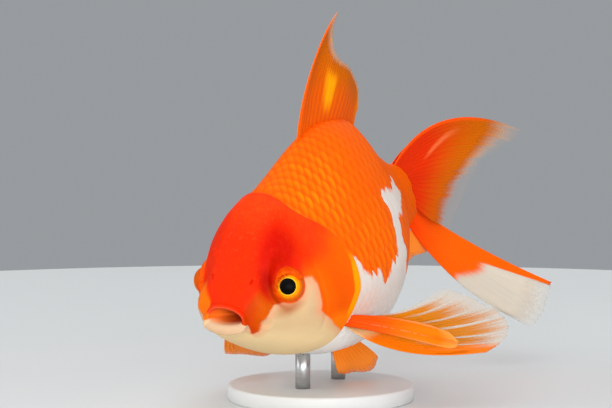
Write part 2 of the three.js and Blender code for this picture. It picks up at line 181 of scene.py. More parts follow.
# %% Loops of the coat
DEGREE = 0.26  # millimetres of skin to a degree round, near the cheek
CHEEK = [
    (-0.03, -13), (0.014, -14), (0.026, -32), (0.036, -45), (0.043, -46), (0.047, -34), (0.046, -16), (0.048, -6),
    (0.054, 1), (0.065, 9), (0.076, 13), (0.1, 10), (0.15, 11), (0.166, 19), (0.190, 17), (0.198, 12),
    (0.195, 4), (0.191, -6), (0.204, -11), (0.230, -18), (0.246, -23), (0.262, -26), (0.283, -31),
    (0.3, -36), (0.45, -38), (0.45, -110), (-0.03, -110),
]
BELLY = [
    (0.2, 14), (0.37, 14), (0.380, 13), (0.384, 10), (0.378, 6), (0.398, 7), (0.414, 2.5), (0.427, 5), (0.440, 1),
    (0.462, 5), (0.472, -1), (0.475, -9), (0.484, -6), (0.493, -4), (0.505, 0), (0.535, 2.5), (0.575, 4.5),
    (0.588, 10), (0.612, 13), (0.613, 18), (0.620, 23), (0.605, 26), (0.602, 29), (0.624, 30), (0.638, 28),
    (0.664, 31), (0.672, 27.5), (0.70, 30), (0.752, 38), (0.772, 37), (0.762, 31), (0.803, 26), (0.795, 21),
    (0.716, 17), (0.668, 14.5), (0.650, 11), (0.652, 7.5), (0.653, 3), (0.66, -10), (0.68, -30), (0.72, -50),
    (0.76, -110), (0.2, -110),
]


def loop_distance(loop, back, height):
    """Millimetres into a loop on the unrolled side; below 0 outside it."""
    x, y = back / MM, height * DEGREE
    corners = [(b / MM, h * DEGREE) for b, h in loop]
    nearest, inside = np.full(np.shape(x), 1e9), np.zeros(np.shape(x), bool)
    for (x0, y0), (x1, y1) in zip(corners, corners[1:] + corners[:1]):
        along = np.clip(((x - x0) * (x1 - x0) + (y - y0) * (y1 - y0)) / ((x1 - x0) ** 2 + (y1 - y0) ** 2), 0, 1)
        nearest = np.minimum(nearest, np.hypot(x - x0 - along * (x1 - x0), y - y0 - along * (y1 - y0)))
        if y0 != y1:
            inside ^= ((y0 > y) != (y1 > y)) & (x < (x1 - x0) * (y - y0) / (y1 - y0) + x0)
    return np.where(inside, nearest, -nearest)


def blob(back, height, middle, size):
    """A soft round patch: 1 at its middle, 0 from its edge on."""
    far = np.hypot((back - middle[0]) / size[0], (height - middle[1]) / size[1])
    return 1 - ease(far, 0, 1)


def head_marks(back, angle):
    """The head's markings and painted shade, by name, at places on it."""
    height = 90 - from_top(angle)
    behind = back - gill_rim(from_top(angle))
    # how far down the red cap reaches, in degrees above the belt: higher in front of the eyes
    lower = 2 + 22 * ease(back, 0.1, 0.055) * ease(back, 0.012, 0.035) + 7 * ease(back, 0.15, 0.18)
    top = ease(height, 55, 75)
    crown = ease(height - lower, 0, 30) * ease(back, 0.40 - 0.07 * ease(height, 36, 60), 0.24)
    strip_width = 0.013 + 0.015 * ease(height, 22, 4) * ease(height, -26, -10)
    towards_left = 0.25 + 0.75 * ease(np.cos(np.radians(angle)), -0.1, 0.25)
    # painted shade: darker red in the dent before the left eye
    dent_shade_blob = blob(back, height, (0.085, 34), (0.038, 30)) * towards_left
    over_eye = blob(back, height, (0.13, 45), (0.1, 34)) * towards_left
    return {
        "cream": loop_distance(CHEEK, back, height),
        "red": crown,
        # deeper red above the eye, and the dent's painted shade
        "crimson": np.maximum(over_eye, dent_shade_blob),
        "dark": dent_shade_blob,
        "amber": ease(back, 0.12, 0.09),
        "strip": ease(behind, -strip_width, -strip_width + 0.008) * ease(height, -26, -8) * ease(height, 24, 8),
        # painted shade: a darker orange over the middle of the gill cover
        "shade": blob(back, height, (0.26, 4), (0.06, 40)),
        "deep": ease(back, 0.26 - 0.06 * top, 0.15 - 0.05 * top),
        # painted shadow on the cheek just below the bulging eye
        "eye_shade": blob(back, height, (0.097, 3), (0.05, 14)),
        # the upper rear cheek: painted shade on its cream, and a stronger blush at its edge
        "blush": ease(back, 0.14, 0.175) * ease(height, -16, -4),
        "gill_low": ease(height, -6, -20) * ease(back, 0.2, 0.25),
    }


def trunk_marks(back, angle):
    """The trunk's markings by name, with painted light on the underside and painted shine on the scales."""
    height = 90 - from_top(angle)
    return {
        # paler underside: the belly's own paler tone, with painted light from below
        "under": ease(height, -14, -42),
        "white": loop_distance(BELLY, back, height),
        # where the painted shine on the scales is strongest: the upper back and mid flank
        "gold": np.maximum(
            blob(back, height, (0.36, 50), (0.2, 44)), 0.6 * blob(back, height, (0.5, 14), (0.2, 24))
        ),
        "rose": blob(back, height, (0.37, -14), (0.12, 18)),
    }


print("loops:", len(CHEEK), "and", len(BELLY), "corners")

# %% [markdown]
# ## Meshes from moved grids
# Each soft piece starts as a grid or ball from an operator, and one function then says where each of its vertices
# goes. Sculpting by hand would do too, but a function can be read and changed. The helpers read and write all of a
# mesh's vertices at once, store a named number on every vertex for the finish, and run an operator on a piece.


# %% Mesh helpers
def smooth_faces(mesh, smooth=True):
    for face in mesh.polygons:
        face.use_smooth = smooth


def mesh_object(name, form, smooth=True):
    """The bmesh as a named object in the scene."""
    mesh = bpy.data.meshes.new(name)
    form.to_mesh(mesh)
    form.free()
    smooth_faces(mesh, smooth)
    made = bpy.data.objects.new(name, mesh)
    bpy.context.scene.collection.objects.link(made)
    return made


def vertices_of(mesh):
    flat = np.empty(len(mesh.vertices) * 3)
    mesh.vertices.foreach_get("co", flat)
    return flat.reshape(-1, 3)


def move_vertices(mesh, places):
    mesh.vertices.foreach_set("co", np.ascontiguousarray(places, float).ravel())
    mesh.update()


def store(mesh, name, values):
    """One number for each vertex, under a name that a finish can read."""
    made = mesh.attributes.new(name, "FLOAT", "POINT")
    made.data.foreach_set("value", np.ascontiguousarray(values, float))


def lay_uv(mesh, name, across, along):
    """A UV map from one pair of numbers for each vertex."""
    corner = np.empty(len(mesh.loops), int)
    mesh.loops.foreach_get("vertex_index", corner)
    layer = mesh.uv_layers.new(name=name)
    layer.data.foreach_set("uv", np.stack([across[corner], along[corner]], -1).ravel())


def reshape(made, change):
    """Runs a change on a piece's bmesh."""
    form = bmesh.new()
    form.from_mesh(made.data)
    change(form)
    form.to_mesh(made.data)
    form.free()
    made.data.update()


def face_out(made):
    """Turns a closed piece's faces outwards."""
    reshape(made, lambda form: bmesh.ops.recalc_face_normals(form, faces=form.faces[:]))


# %% [markdown]
# ## The skin
# One closed skin covers head, trunk and tail stem. It starts as a ball whose poles are laid along the fish. The rows
# from the front pole first line the mouth, roll over the lips, spread over the face to the edge of the gill covers,
# tuck under that edge, and then run down the trunk. Because it is one surface, there is no seam at the neck; the gill
# edge is a real fold. Where the scales will lie, the skin is sunk by their depth.

# %% Lips and rows
AROUND, ALONG = 300, 290
MOUTH = {"left": 0.004, "back": 0.004, "up": -0.021}
OPENING = {"side": 0.047, "rise": 0.03, "drop": 0.009}
LIP = {"upper": 0.0056, "lower": 0.0118, "forward": 0.12, "jaw": 0.003}
ROWS = {"throat": 0.05, "lips": 0.13, "face": 0.6, "rim": 0.65}
THROAT_DEPTH = 0.04
FACE_START = 0.012
GILL_LIP, GILL_TUCK = 0.35 * MM, 2.2 * MM  # how far the gill's edge stands back, and how far under it the fold goes
SCALE_DEPTH = 0.3 * MM


def mouth_edge(angle, wider):
    """The mouth's opening, widened by that much, with the lower jaw a little forward."""
    side, height = np.cos(np.radians(angle)), np.sin(np.radians(angle))
    reach = np.where(height > 0, OPENING["rise"], OPENING["drop"])
    height = np.where(height > 0, height, -np.abs(height) ** 0.8)
    up = height * (reach + wider)
    left = side * (OPENING["side"] + wider * (0.8 + 0.15 * ease(-height, 0, 0.5)))
    corner = 0.012 * side * side - LIP["jaw"] * ease(-height, 0.1, 1)
    return np.stack([MOUTH["left"] + left, MOUTH["back"] + LIP["forward"] * up + corner, MOUTH["up"] + up], -1)


def mix(a, b, share):
    return a + (b - a) * np.asarray(share)[..., None]


def skin_place(row, angle):
    """Where the skin goes: row is the share of the way from the mouth's pole to the tail's."""
    height = np.sin(np.radians(angle))
    fat = LIP["upper"] + (LIP["lower"] - LIP["upper"]) * ease(-height, -0.2, 0.7)
    # inside the mouth
    inwards = np.clip(1 - row / ROWS["throat"], 0, 1)
    deep = mouth_edge(angle, 0 * angle)
    throat = np.array([MOUTH["left"] + 0.015, MOUTH["back"] + THROAT_DEPTH, MOUTH["up"]])
    inside = mix(deep, throat + 0 * deep, inwards**0.7)
    inside[:, 1] = deep[:, 1] + THROAT_DEPTH * np.sqrt(inwards)
    # over the lips, from their inner to their outer side
    round_lip = np.pi * (1 - np.clip((row - ROWS["throat"]) / (ROWS["lips"] - ROWS["throat"]), 0, 1))
    lips = mouth_edge(angle, fat * (1 + np.cos(round_lip)))
    rise = np.sin(round_lip)
    shallow = 0.4 + 0.25 * ease(-height, 0, 0.6)  # so that the lip's outer side runs smoothly into the face
    rise = np.where(round_lip < np.pi / 2, 1 - (1 - rise) * (1 - shallow), rise)
    lips[:, 1] -= fat * rise
    # over the face to the gill edge
    rim = gill_rim(from_top(angle))
    share = np.clip((row - ROWS["lips"]) / (ROWS["face"] - ROWS["lips"]), 0, 1)
    share = share - 0.07 * (np.sin(2 * np.pi * (share - 0.4)) + np.sin(0.8 * np.pi))  # closer rows at the eyes
    back = FACE_START + (rim - FACE_START) * share
    face = body_place(back, angle, head_growth(back, angle))
    from_lips = np.stack([lips[:, 0], lips[:, 1] + back - FACE_START, lips[:, 2]], -1)
    face = mix(from_lips, face, ease(back, FACE_START, 0.055))
    # under the gill edge
    tuck = np.clip((row - ROWS["face"]) / (ROWS["rim"] - ROWS["face"]), 0, 1)
    growth = head_growth(rim, angle)
    fold = body_place(
        rim + GILL_LIP * np.sin(np.pi * np.minimum(tuck * 1.4, 1)) - GILL_TUCK * ease(tuck, 0.5, 1),
        angle,
        growth * (1 - ease(tuck, 0, 0.75)) - SCALE_DEPTH * ease(tuck, 0.3, 1),
    )
    # down the trunk
    rest = np.clip((row - ROWS["rim"]) / (1 - ROWS["rim"]), 0, 1)
    start = rim - GILL_TUCK
    trunk = body_place(start + (1 - start) * rest, angle, -SCALE_DEPTH + 0 * angle)

    row = row[:, None]
    return np.select(
        [row <= ROWS["throat"], row <= ROWS["lips"], row <= ROWS["face"], row <= ROWS["rim"]],
        [inside, lips, face, fold],
        trunk,
    )


# %% The skin as a moved ball
form = bmesh.new()
bmesh.ops.create_uvsphere(form, u_segments=AROUND, v_segments=ALONG, radius=1)
skin = mesh_object("skin", form)
ball = vertices_of(skin.data)
row = np.arccos(np.clip(ball[:, 2], -1, 1)) / np.pi
angle = np.degrees(np.arctan2(ball[:, 1], ball[:, 0]))
angle = angle - 0.3 * np.degrees(np.sin(2 * np.radians(angle))) / 2  # closer together at the sides, for the eyes
places = skin_place(row, angle)
move_vertices(skin.data, places)
face_out(skin)
print("skin:", len(skin.data.polygons), "faces")

# %% [markdown]
# ## Eye sockets, nostrils and folds
# The eyeball of a goldfish bulges, and a soft ring of skin hugs it, fuller above. The skin round each eye is pushed
# out along the eye's own axis to such a ring, and pressed in under the ball. Nostrils are a small pit with a flap
# behind it. In front of the eye a dent runs down to the corner of the mouth, and the cap is made of small soft grains.

# %% Eye places
EYE_RADIUS = 3.0 * MM
EYES = {
    "left": {"middle": (0.117, 0.138, 0.037), "out": (0.70, -0.65, 0.28), "gaze": (0.40, -0.815, 0.32)},
    "right": {"middle": (-0.118, 0.138, 0.024), "out": (-0.92, -0.30, 0.1), "gaze": (-0.88, 0.2, -0.42)},
}
NOSTRILS = [(0.061, 54.0), (0.061, 126.0)]


def unit(vector):
    return np.array(vector) / np.linalg.norm(vector)


# the ring's height along the eye's axis, by the distance from it, both in eye radii
RINGS = {
    "left": (
        [0, 0.6, 0.88, 0.93, 0.97, 1.01, 1.06, 1.14, 1.36, 1.9],
        [0.7, 0.5, 0.22, 0.28, 0.3, 0.24, 0.11, 0.02, -0.05, -0.1],
    ),
    "right": (
        [0, 0.6, 0.88, 0.94, 1.0, 1.08, 1.17, 1.28, 1.5, 1.9],
        [0.7, 0.5, 0.32, 0.44, 0.46, 0.42, 0.3, 0.1, -0.04, -0.1],
    ),
}
ring_profiles = {side: curve_through(*RINGS[side]) for side in RINGS}


def round_eye(points, side):
    """Places round an eye, in its radii: the height along its axis, the way from the axis, that way's length, the
    same in a ring that is thin ahead and full above, and how far upwards it points."""
    axis = unit(EYES[side]["out"])
    reach = (points - np.array(EYES[side]["middle"])) / EYE_RADIUS
    height = reach @ axis
    flat = reach - height[:, None] * axis
    far = np.linalg.norm(flat, axis=1)
    ahead = unit(np.array([0, -1, 0]) + axis[1] * axis)
    forwards, upwards = (np.maximum(flat @ np.array(d), 0) / np.maximum(far, 1e-6) for d in (ahead, (0, 0, 1)))
    stretch = 1 + forwards**2 - 0.5 * upwards**2
    return height, flat, far, np.where(far > 1, 1 + (far - 1) * stretch, far), upwards


def eye_ring(points, side):
    """The points moved along the eye's axis, to hug the ball with a ring that is fuller above, as a lid."""
    axis, gaze = unit(EYES[side]["out"]), unit(EYES[side]["gaze"])
    height, flat, far, ring_far, upwards = round_eye(points, side)
    on_ball = flat + np.sqrt(np.maximum(1 - far**2, 0))[:, None] * axis
    off_gaze = np.degrees(np.arccos(np.clip(on_ball @ gaze / np.linalg.norm(on_ball, axis=1), -1, 1)))
    lid = ease(off_gaze, 50, 57) * ease(flat[:, 2], 0.1, 0.5) * (side == "left")
    thick = 1.13 + 0.13 * ease(off_gaze, 56, 92) * upwards
    dome = np.sqrt(np.maximum(thick**2 - far**2, 0)) * ease(ring_far, 1.28, 1.02)
    wanted = np.maximum(ring_profiles[side](ring_far), dome * lid)
    hold = ease(ring_far, 1.95, 1.25) * (height > -0.9)
    return points + ((wanted - height) * hold * EYE_RADIUS)[:, None] * axis


print("eyes at", [EYES[side]["middle"] for side in EYES])

# %% Shape the head
DENT_DEPTH, MOUTH_DENT_DEPTH, CREASE_DEPTH = 0.6 * MM, 0.35 * MM, 0.2 * MM
GRAIN_SIZE = 0.95 * MM
GRAIN_DEPTH, CAP_GRAIN_DEPTH = 0.02, 0.1  # in millimetres, everywhere and on the cap on top of that
DEGREE_ROUND = 0.2 * MM  # a degree round the snout, at the nostrils
face_rows = (row > ROWS["lips"]) & (row < ROWS["face"])
face_back = places[:, 1]
height = 90 - from_top(angle)
normals = np.empty(len(places) * 3)
skin.data.vertices.foreach_get("normal", normals)
normals = normals.reshape(-1, 3)

dent = blob(face_back, height, (0.082, 34), (0.04, 30)) * DENT_DEPTH
dent += blob(face_back, height, (0.052, -14), (0.022, 14)) * MOUTH_DENT_DEPTH
grains = np.zeros(len(places))
for i in np.nonzero(face_rows)[0]:
    spot = Vector(places[i]) / GRAIN_SIZE
    grains[i] = noise.voronoi(spot)[0][0] - 0.45
    grains[i] += 0.9 * noise.noise(spot * 0.3)
cap = ease(height, 25, 55) * ease(face_back, 0.05, 0.12)
crease = np.exp(-(((face_back - 0.207) / 0.007) ** 2)) * ease(height, 30, 14) * ease(height, -34, -16)
relief = -dent - CREASE_DEPTH * crease - grains * MM * (GRAIN_DEPTH + CAP_GRAIN_DEPTH * cap)
for back_at, angle_at in NOSTRILS:
    side = (angle - angle_at) * DEGREE_ROUND
    ahead = face_back - back_at
    pit = np.hypot(ahead, side) / (0.5 * MM)
    flap = np.hypot(ahead - 0.85 * MM, side * 0.8) / (0.95 * MM)
    relief += MM * (0.26 * (1 - ease(flap, 0, 1)) - 0.5 * (1 - ease(pit, 0.3, 1)))
places = places + normals * (relief * face_rows)[:, None]
head_rows = row < ROWS["face"]
for side, eye in EYES.items():
    hugged = eye_ring(places, side)
    on_side = head_rows & (np.sign(places[:, 0]) == np.sign(eye["middle"][0])) & (row > ROWS["lips"])
    places = np.where(on_side[:, None], hugged, places)
move_vertices(skin.data, posed(places))
print("cap grains up to", round(float(np.abs(grains).max()) * (GRAIN_DEPTH + CAP_GRAIN_DEPTH), 2), "mm")

# %% Marks on the skin
marks = head_marks(face_back, angle)
coat = trunk_marks(face_back, angle)
marks["white"], marks["under"] = coat["white"], coat["under"]
marks["head"] = (row <= 0.5 * (ROWS["face"] + ROWS["rim"])).astype(float)
lip = ease(row, ROWS["throat"] * 0.9, ROWS["throat"] * 1.2) * ease(row, ROWS["lips"] + 0.03, ROWS["lips"])
far_corner = 0.5 * ease(-np.cos(np.radians(angle)), 0.4, 0.9)
marks["low_lip"] = lip * ease(np.sin(np.radians(angle)) + far_corner, 0.1, -0.25)
# painted highlight along the upper lip's edge
marks["lip_line"] = np.exp(-(((row - 0.075) / 0.02) ** 2)) * ease(np.sin(np.radians(angle)), -0.1, 0.3)
marks["mouth"] = ease(row, ROWS["throat"] * 1.25, ROWS["throat"] * 0.8)
marks["left"] = places[:, 0]
ring_marks = []
for side, edge_at in (("left", 1.2), ("right", 1.34)):
    up_axis, flat, far, ring_far, _ = round_eye(places, side)
    close = np.abs(up_axis) < 1.5
    ring_marks.append(ease(ring_far, edge_at, edge_at - 0.1) * close)
    if side == "left":
        ahead, above = -flat[:, 1] / np.maximum(far, 0.1), flat[:, 2] / np.maximum(far, 0.1)
        marks["brow"] = ease(far, 2.6, 1.4) * ease(0.8 * ahead + 0.6 * above, 0.1, 0.7) * close
        marks["eye_front"] = ease(far, 1.9, 1.2) * ease(0.8 * ahead - 0.6 * above, 0.3, 0.8) * close
        # painted shadow in a band just under the left eye
        marks["under_eye"] = ease(far, 2.0, 1.2) * ease(0.45 * ahead - 0.9 * above, 0.2, 0.9) * close
marks["eye_ring"] = np.max(ring_marks, axis=0) * head_rows
marks["cap"] = cap * face_rows
pits = [np.hypot(face_back - b, (angle - a) * DEGREE_ROUND) / (0.55 * MM) for b, a in NOSTRILS]
# painted shade in the nostril pits
marks["pit"] = (1 - ease(np.min(pits, axis=0), 0.4, 1.1)) * face_rows
for name, values in marks.items():
    store(skin.data, name, values)
print("skin marks:", ", ".join(marks))
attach(skin, "root")
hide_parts("head", "lips", "gill_cover_left", "gill_cover_right", "trunk", "tail_stem")

# %% [markdown]
# ## The scales
# A goldfish's scales lie in slanting rows, each a tall thin plate rooted in front and free behind, over the roots of
# the next. They could be scattered by a modifier, but then each would be a loose copy. Here one long grid makes each
# ring of scales: its faces are cut away between one scale and the next, and every strip is moved onto the body.
# The rings are half a scale apart, and every other ring is turned by half a scale, which gives the diamond pattern.

# %% Scale sizes
SCALE_FACES = 7  # across one scale
SCALE_ROWS = [0, 0.2, 0.42, 0.62, 0.8, 0.92, 0.985, 1]
SCALE_RISE = {"root": -0.40 * MM, "edge": 0.07 * MM, "lip": 0.13 * MM, "dome": 0.09 * MM}
FIRST_RING, LAST_RING = 0.235, 0.985
RING_STEP, STEP_LESS = 1.14, 0.3  # millimetres from ring to ring, and how much less at the tail
SCALE_LENGTH, LENGTH_LESS = 3.15, 0.8  # millimetres, and how much less at the tail
SCALE_OVERLAP = 1.03  # a scale's width in pitches
ROOT_AHEAD = 0.3  # the share of a scale that lies ahead of its ring
TURN_SHAKE, SIZE_SHAKE = 0.35, 0.02  # degrees, and a share of the size
rings = []
back = FIRST_RING
while back < LAST_RING:
    rings.append(back)
    back += (RING_STEP - STEP_LESS * ease(back, 0.6, 1)) * MM


def scales_round(back):
    """How many scales a ring holds: fewer as the body narrows to the tail."""
    return 26 if back < 0.69 else 20 if back < 0.83 else 14


def ring_of_scales(back):
    """One ring of scales as a flat grid with gaps, its number of scales, and the columns to each."""
    count = scales_round(back)
    wide = SCALE_FACES + 1
    form = bmesh.new()
    bmesh.ops.create_grid(form, x_segments=count * wide - 1, y_segments=len(SCALE_ROWS) - 1, size=0.5)
    form.faces.ensure_lookup_table()
    gaps = [f for f in form.faces if int((f.calc_center_median().x + 0.5) * (count * wide - 1)) % wide == wide - 1]
    bmesh.ops.delete(form, geom=gaps, context="FACES")
    return form, count, wide


def scale_places(flat, index, back, count, wide):
    """Where the flat ring's vertices go on the body, and the numbers that each carries."""
    column = np.rint((flat[:, 0] + 0.5) * (count * wide - 1)).astype(int)
    level = np.rint((flat[:, 1] + 0.5) * (len(SCALE_ROWS) - 1)).astype(int)
    scale, across = column // wide, (column % wide) / SCALE_FACES * 2 - 1
    along = np.array(SCALE_ROWS)[level]
    pitch = 360 / count
    shake = np.random.default_rng(index)
    middle = (scale + 0.5 * (index % 2)) * pitch + shake.normal(0, TURN_SHAKE, count)[scale]
    size = 1 + shake.normal(0, SIZE_SHAKE, count)[scale]
    length = (SCALE_LENGTH - LENGTH_LESS * ease(back, 0.6, 1)) * MM * size
    angle = middle + across * pitch * 0.5 * SCALE_OVERLAP
    reach = along * np.sqrt(1 - 0.86 * across**2)
    root = back - ROOT_AHEAD * length
    where = np.clip(root + reach * length, 0, 0.9995)
    lift = SCALE_RISE["root"] + (SCALE_RISE["edge"] - SCALE_RISE["root"]) * reach
    lift = lift + SCALE_RISE["dome"] * (1 - across**2) * np.sin(np.pi * np.minimum(along, 0.9))
    lift = lift - SCALE_RISE["lip"] * (level == len(SCALE_ROWS) - 1)
    thin = 1 - 0.35 * ease(where, 0.75, 1)
    places = body_place(where, angle, lift * thin)
    tone = shake.uniform(0, 1, count)[scale]
    centre = root + 0.6 * length
    return places, dict(
        across=across, along=along, tone=tone, where=where, angle=angle, centre=centre, centre_angle=middle
    )


print("rings of scales:", len(rings))

# %% Lay the rings
coat_mesh = bmesh.new()
ring_data = []
for index, back in enumerate(rings):
    form, count, wide = ring_of_scales(back)
    part = bpy.data.meshes.new("ring")
    form.to_mesh(part)
    form.free()
    placed, marks_here = scale_places(vertices_of(part), index, back, count, wide)
    move_vertices(part, placed)
    hidden = marks_here["centre"] + 0.9 * MM < gill_rim(from_top(marks_here["centre_angle"]))
    marks_here["hidden"] = hidden.astype(float)
    ring_data.append(marks_here)
    coat_mesh.from_mesh(part)
    bpy.data.meshes.remove(part)
scale_marks = {name: np.concatenate([ring[name] for ring in ring_data]) for name in ring_data[0]}
scales = mesh_object("scales", coat_mesh)
print("faces in all rings:", len(scales.data.polygons))

# %% Marks on the scales
near = trunk_marks(scale_marks["where"], scale_marks["angle"])
middles = trunk_marks(scale_marks["centre"], scale_marks["centre_angle"])
store(scales.data, "white", 0.55 * near["white"] + 0.45 * middles["white"])
for name in ("gold", "rose", "under"):
    store(scales.data, name, middles[name])
for name in ("tone", "hidden"):
    store(scales.data, name, scale_marks[name])
lay_uv(scales.data, "Lie", scale_marks["across"] * 0.5 + 0.5, scale_marks["along"])
PATCH = 0.003  # a scale's share of the map, at its root's place on the unrolled coat
lay_uv(
    scales.data,
    "OFBake",
    scale_marks["centre"] * 0.98 + 0.01 + (scale_marks["along"] - 0.5) * PATCH,
    ((scale_marks["centre_angle"] % 360) / 360) * 0.97 + 0.015 + scale_marks["across"] * 0.5 * PATCH,
)
move_vertices(scales.data, posed(vertices_of(scales.data)))


def drop_hidden(form):
    """Takes away the scales that lie wholly under the gill edge."""
    tag = form.verts.layers.float.get("hidden")
    bmesh.ops.delete(form, geom=[v for v in form.verts if v[tag] > 0.5], context="VERTS")


reshape(scales, drop_hidden)
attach(scales, "root")
print("scales kept:", len(scales.data.polygons) // (SCALE_FACES * (len(SCALE_ROWS) - 1)))

# %% [markdown]
# ## The fins
# A fin is a thin web stretched over bony rays that fan out from the root. Three places fix a guide ray: its root,
# middle and tip. A smooth sheet through the guide rays is the web, and the rays themselves are low ridges on it that
# fork once on their way out. The margin frays a little between the rays.

# %% Guide rays
FIN_RAYS = {  # root, middle and tip of each ray: left, back and up, in thousandths of the length
    "dorsal_fin": [
        (0, 415, 290, 0, 510, 477, 0, 687, 609),
        (0, 470, 300, -12, 560, 455, -12, 668, 550),
        (0, 540, 300, 0, 605, 415, 0, 660, 500),
        (0, 610, 285, 12, 670, 390, 12, 715, 452),
        (0, 670, 260, 6, 725, 345, 6, 765, 390),
        (0, 715, 235, 0, 745, 295, 0, 765, 330),
    ],
    "tail_fin_upper_left": [
        (6, 935, 96, 85, 1127, 202, 200, 1424, 106),
        (9, 945, 84, 90, 1135, 150, 190, 1335, 89),
        (11, 953, 70, 80, 1080, 85, 165, 1215, 70),
        (12, 962, 52, 67, 1055, 22, 142, 1146, 2),
        (12, 970, 36, 60, 1030, -55, 102, 1092, -112),
    ],
    "tail_fin_lower_left": [
        (14, 970, 34, 100, 1150, -145, 300, 1383, -346),
        (16, 970, 20, 100, 1115, -168, 300, 1359, -366),
        (16, 970, 8, 100, 1100, -185, 290, 1330, -430),
        (14, 970, -6, 90, 1090, -209, 280, 1272, -448),
        (10, 965, -22, 90, 1088, -234, 240, 1190, -395),
    ],
    "tail_fin_upper_right": [
        (-6, 935, 90, 26, 1130, 155, 100, 1400, 100),
        (-9, 945, 78, 18, 1120, 120, 90, 1330, 80),
        (-11, 953, 66, 4, 1080, 70, 60, 1215, 58),
        (-12, 962, 53, -12, 1050, 30, 10, 1145, 8),
        (-12, 970, 40, -25, 1020, -8, -30, 1080, -70),
    ],
    "anal_fin_left": [
        (12, 820, -120, 24, 885, -165, 34, 950, -177),
        (12, 860, -80, 24, 930, -130, 37, 1000, -170),
        (10, 900, -45, 22, 970, -115, 42, 1062, -178),
        (10, 940, -35, 20, 1000, -92, 40, 1070, -152),
    ],
    "pelvic_fin_left": [
        (62, 430, -225, 64, 447, -285, 60, 465, -335),
        (66, 450, -225, 78, 485, -295, 76, 525, -345),
        (70, 475, -225, 96, 520, -292, 102, 572, -350),
        (75, 500, -225, 115, 545, -275, 127, 590, -328),
    ],
    "pelvic_fin_right": [
        (-60, 475, -230, -60, 525, -285, -55, 585, -322),
        (-62, 490, -230, -64, 545, -282, -58, 610, -320),
        (-65, 505, -230, -70, 560, -278, -66, 625, -312),
        (-68, 520, -230, -80, 575, -268, -80, 630, -298),
    ],
    "pectoral_blade_left": [
        (165, 312, -97, 300, 362, -105, 450, 386, -138),
        (165, 314, -107, 300, 360, -127, 455, 390, -159),
        (170, 306, -117, 305, 352, -146, 450, 388, -178),
    ],
    "pectoral_fan_left": [
        (168, 315, -120, 300, 392, -205, 470, 530, -235),
        (165, 333, -128, 315, 430, -200, 490, 572, -222),
        (165, 342, -130, 325, 455, -188, 505, 600, -195),
        (165, 350, -127, 315, 472, -168, 480, 600, -145),
        (165, 356, -120, 290, 467, -145, 415, 565, -100),
        (165, 362, -110, 260, 457, -122, 340, 540, -72),
    ],
    "pectoral_fin_right": [
        (-160, 320, -105, -235, 390, -226, -278, 448, -307),
        (-160, 328, -115, -228, 410, -246, -252, 475, -320),
        (-160, 336, -125, -210, 425, -258, -225, 510, -330),
        (-160, 344, -133, -190, 425, -256, -190, 540, -332),
        (-160, 350, -140, -180, 425, -235, -165, 540, -300),
    ],
}
guide_rays = {name: np.reshape(rays, (-1, 3, 3)) / 1000 for name, rays in FIN_RAYS.items()}
for name in ("tail_fin_lower", "anal_fin"):
    guide_rays[name + "_right"] = guide_rays[name + "_left"] * (-1, 1, 1)
print("fins:", len(guide_rays))


# %% The web between the rays
def through_guides(points, where):
    """A smooth curve through the points, at shares of the way from the first to the last."""
    last = len(points) - 1
    i = np.clip(np.floor(where * last).astype(int), 0, last - 1)
    u = (where * last - i)[:, None]
    before = np.where((i == 0)[:, None], 2 * points[0] - points[1], points[np.maximum(i - 1, 0)])
    after = np.where((i == last - 1)[:, None], 2 * points[-1] - points[-2], points[np.minimum(i + 2, last)])
    a, b = points[i], points[i + 1]
    return 0.5 * (
        2 * a + (b - before) * u + (2 * before - 5 * a + 4 * b - after) * u**2 + (3 * a - before - 3 * b + after) * u**3
    )


def web_place(guides, across, along):
    """A place on a fin's sheet: across runs from its leading to its trailing edge, along from root to margin."""
    root, middle, tip = (through_guides(guides[:, k], across) for k in range(3))
    r = along[:, None]
    return root * (1 - r) * (1 - 2 * r) + middle * 4 * r * (1 - r) + tip * r * (2 * r - 1)


def fin(name, columns, rays, rows=44, ridge=0.055, fray=0.02, thick=0.22, rounded=0.0):
    """One fin as a ridged web with a thickness in millimetres, with its own map and marks."""
    form = bmesh.new()
    bmesh.ops.create_grid(form, x_segments=columns, y_segments=rows, size=0.5)
    made = mesh_object(name, form)
    flat = vertices_of(made.data)
    across, along = flat[:, 0] + 0.5, flat[:, 1] + 0.5
    guides = guide_rays[name]
    shake = np.random.default_rng(len(name))
    lengths = shake.uniform(-1, 1, rays + 1)
    uneven = np.interp(across * rays, np.arange(rays + 1), lengths)
    between = np.abs(np.sin(np.pi * across * rays))
    edge = 1 - fray * (0.5 * uneven + 0.8 * (1 - between)) * ease(across, 0, 0.06) * ease(across, 1, 0.94)
    edge = edge - rounded * np.abs(2 * across - 1) ** 4
    reach = along * np.where(along > 0.6, 1 + (edge - 1) * ease(along, 0.6, 1), 1)
    places = web_place(guides, across, np.minimum(reach, 1))
    step = 1e-3  # for the slope of the sheet each way
    inside, out = np.clip(across, step, 1 - step), np.clip(reach, step, 1 - step)
    aside = web_place(guides, inside + step, out) - web_place(guides, inside - step, out)
    outward = web_place(guides, inside, out + step) - web_place(guides, inside, out - step)
    normal = np.cross(aside, outward)
    normal /= np.linalg.norm(normal, axis=1)[:, None]
    # each ray is a low ridge that gives way to two finer ones
    forks = ease(along, 0.4, 0.7)
    one = np.cos(2 * np.pi * across * rays)
    two = np.cos(4 * np.pi * across * rays)
    bump = (one * (1 - forks) + two * forks * 0.7) * ease(along, 1.0, 0.85) * ridge * 0.6 * MM
    wave = 0.22 * MM * np.sin(along * 5 + 9 * across) * ease(along, 0.3, 1)
    move_vertices(made.data, posed(places + normal * (bump + wave)[:, None]))
    store(made.data, "ray", one * (1 - forks) + two * forks)
    lay_uv(made.data, "Web", across, along)
    reshape(made, lambda form: bmesh.ops.solidify(form, geom=form.faces[:], thickness=thick / 1000))
    face_out(made)
    smooth_faces(made.data)
    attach(made, "root")
    return made


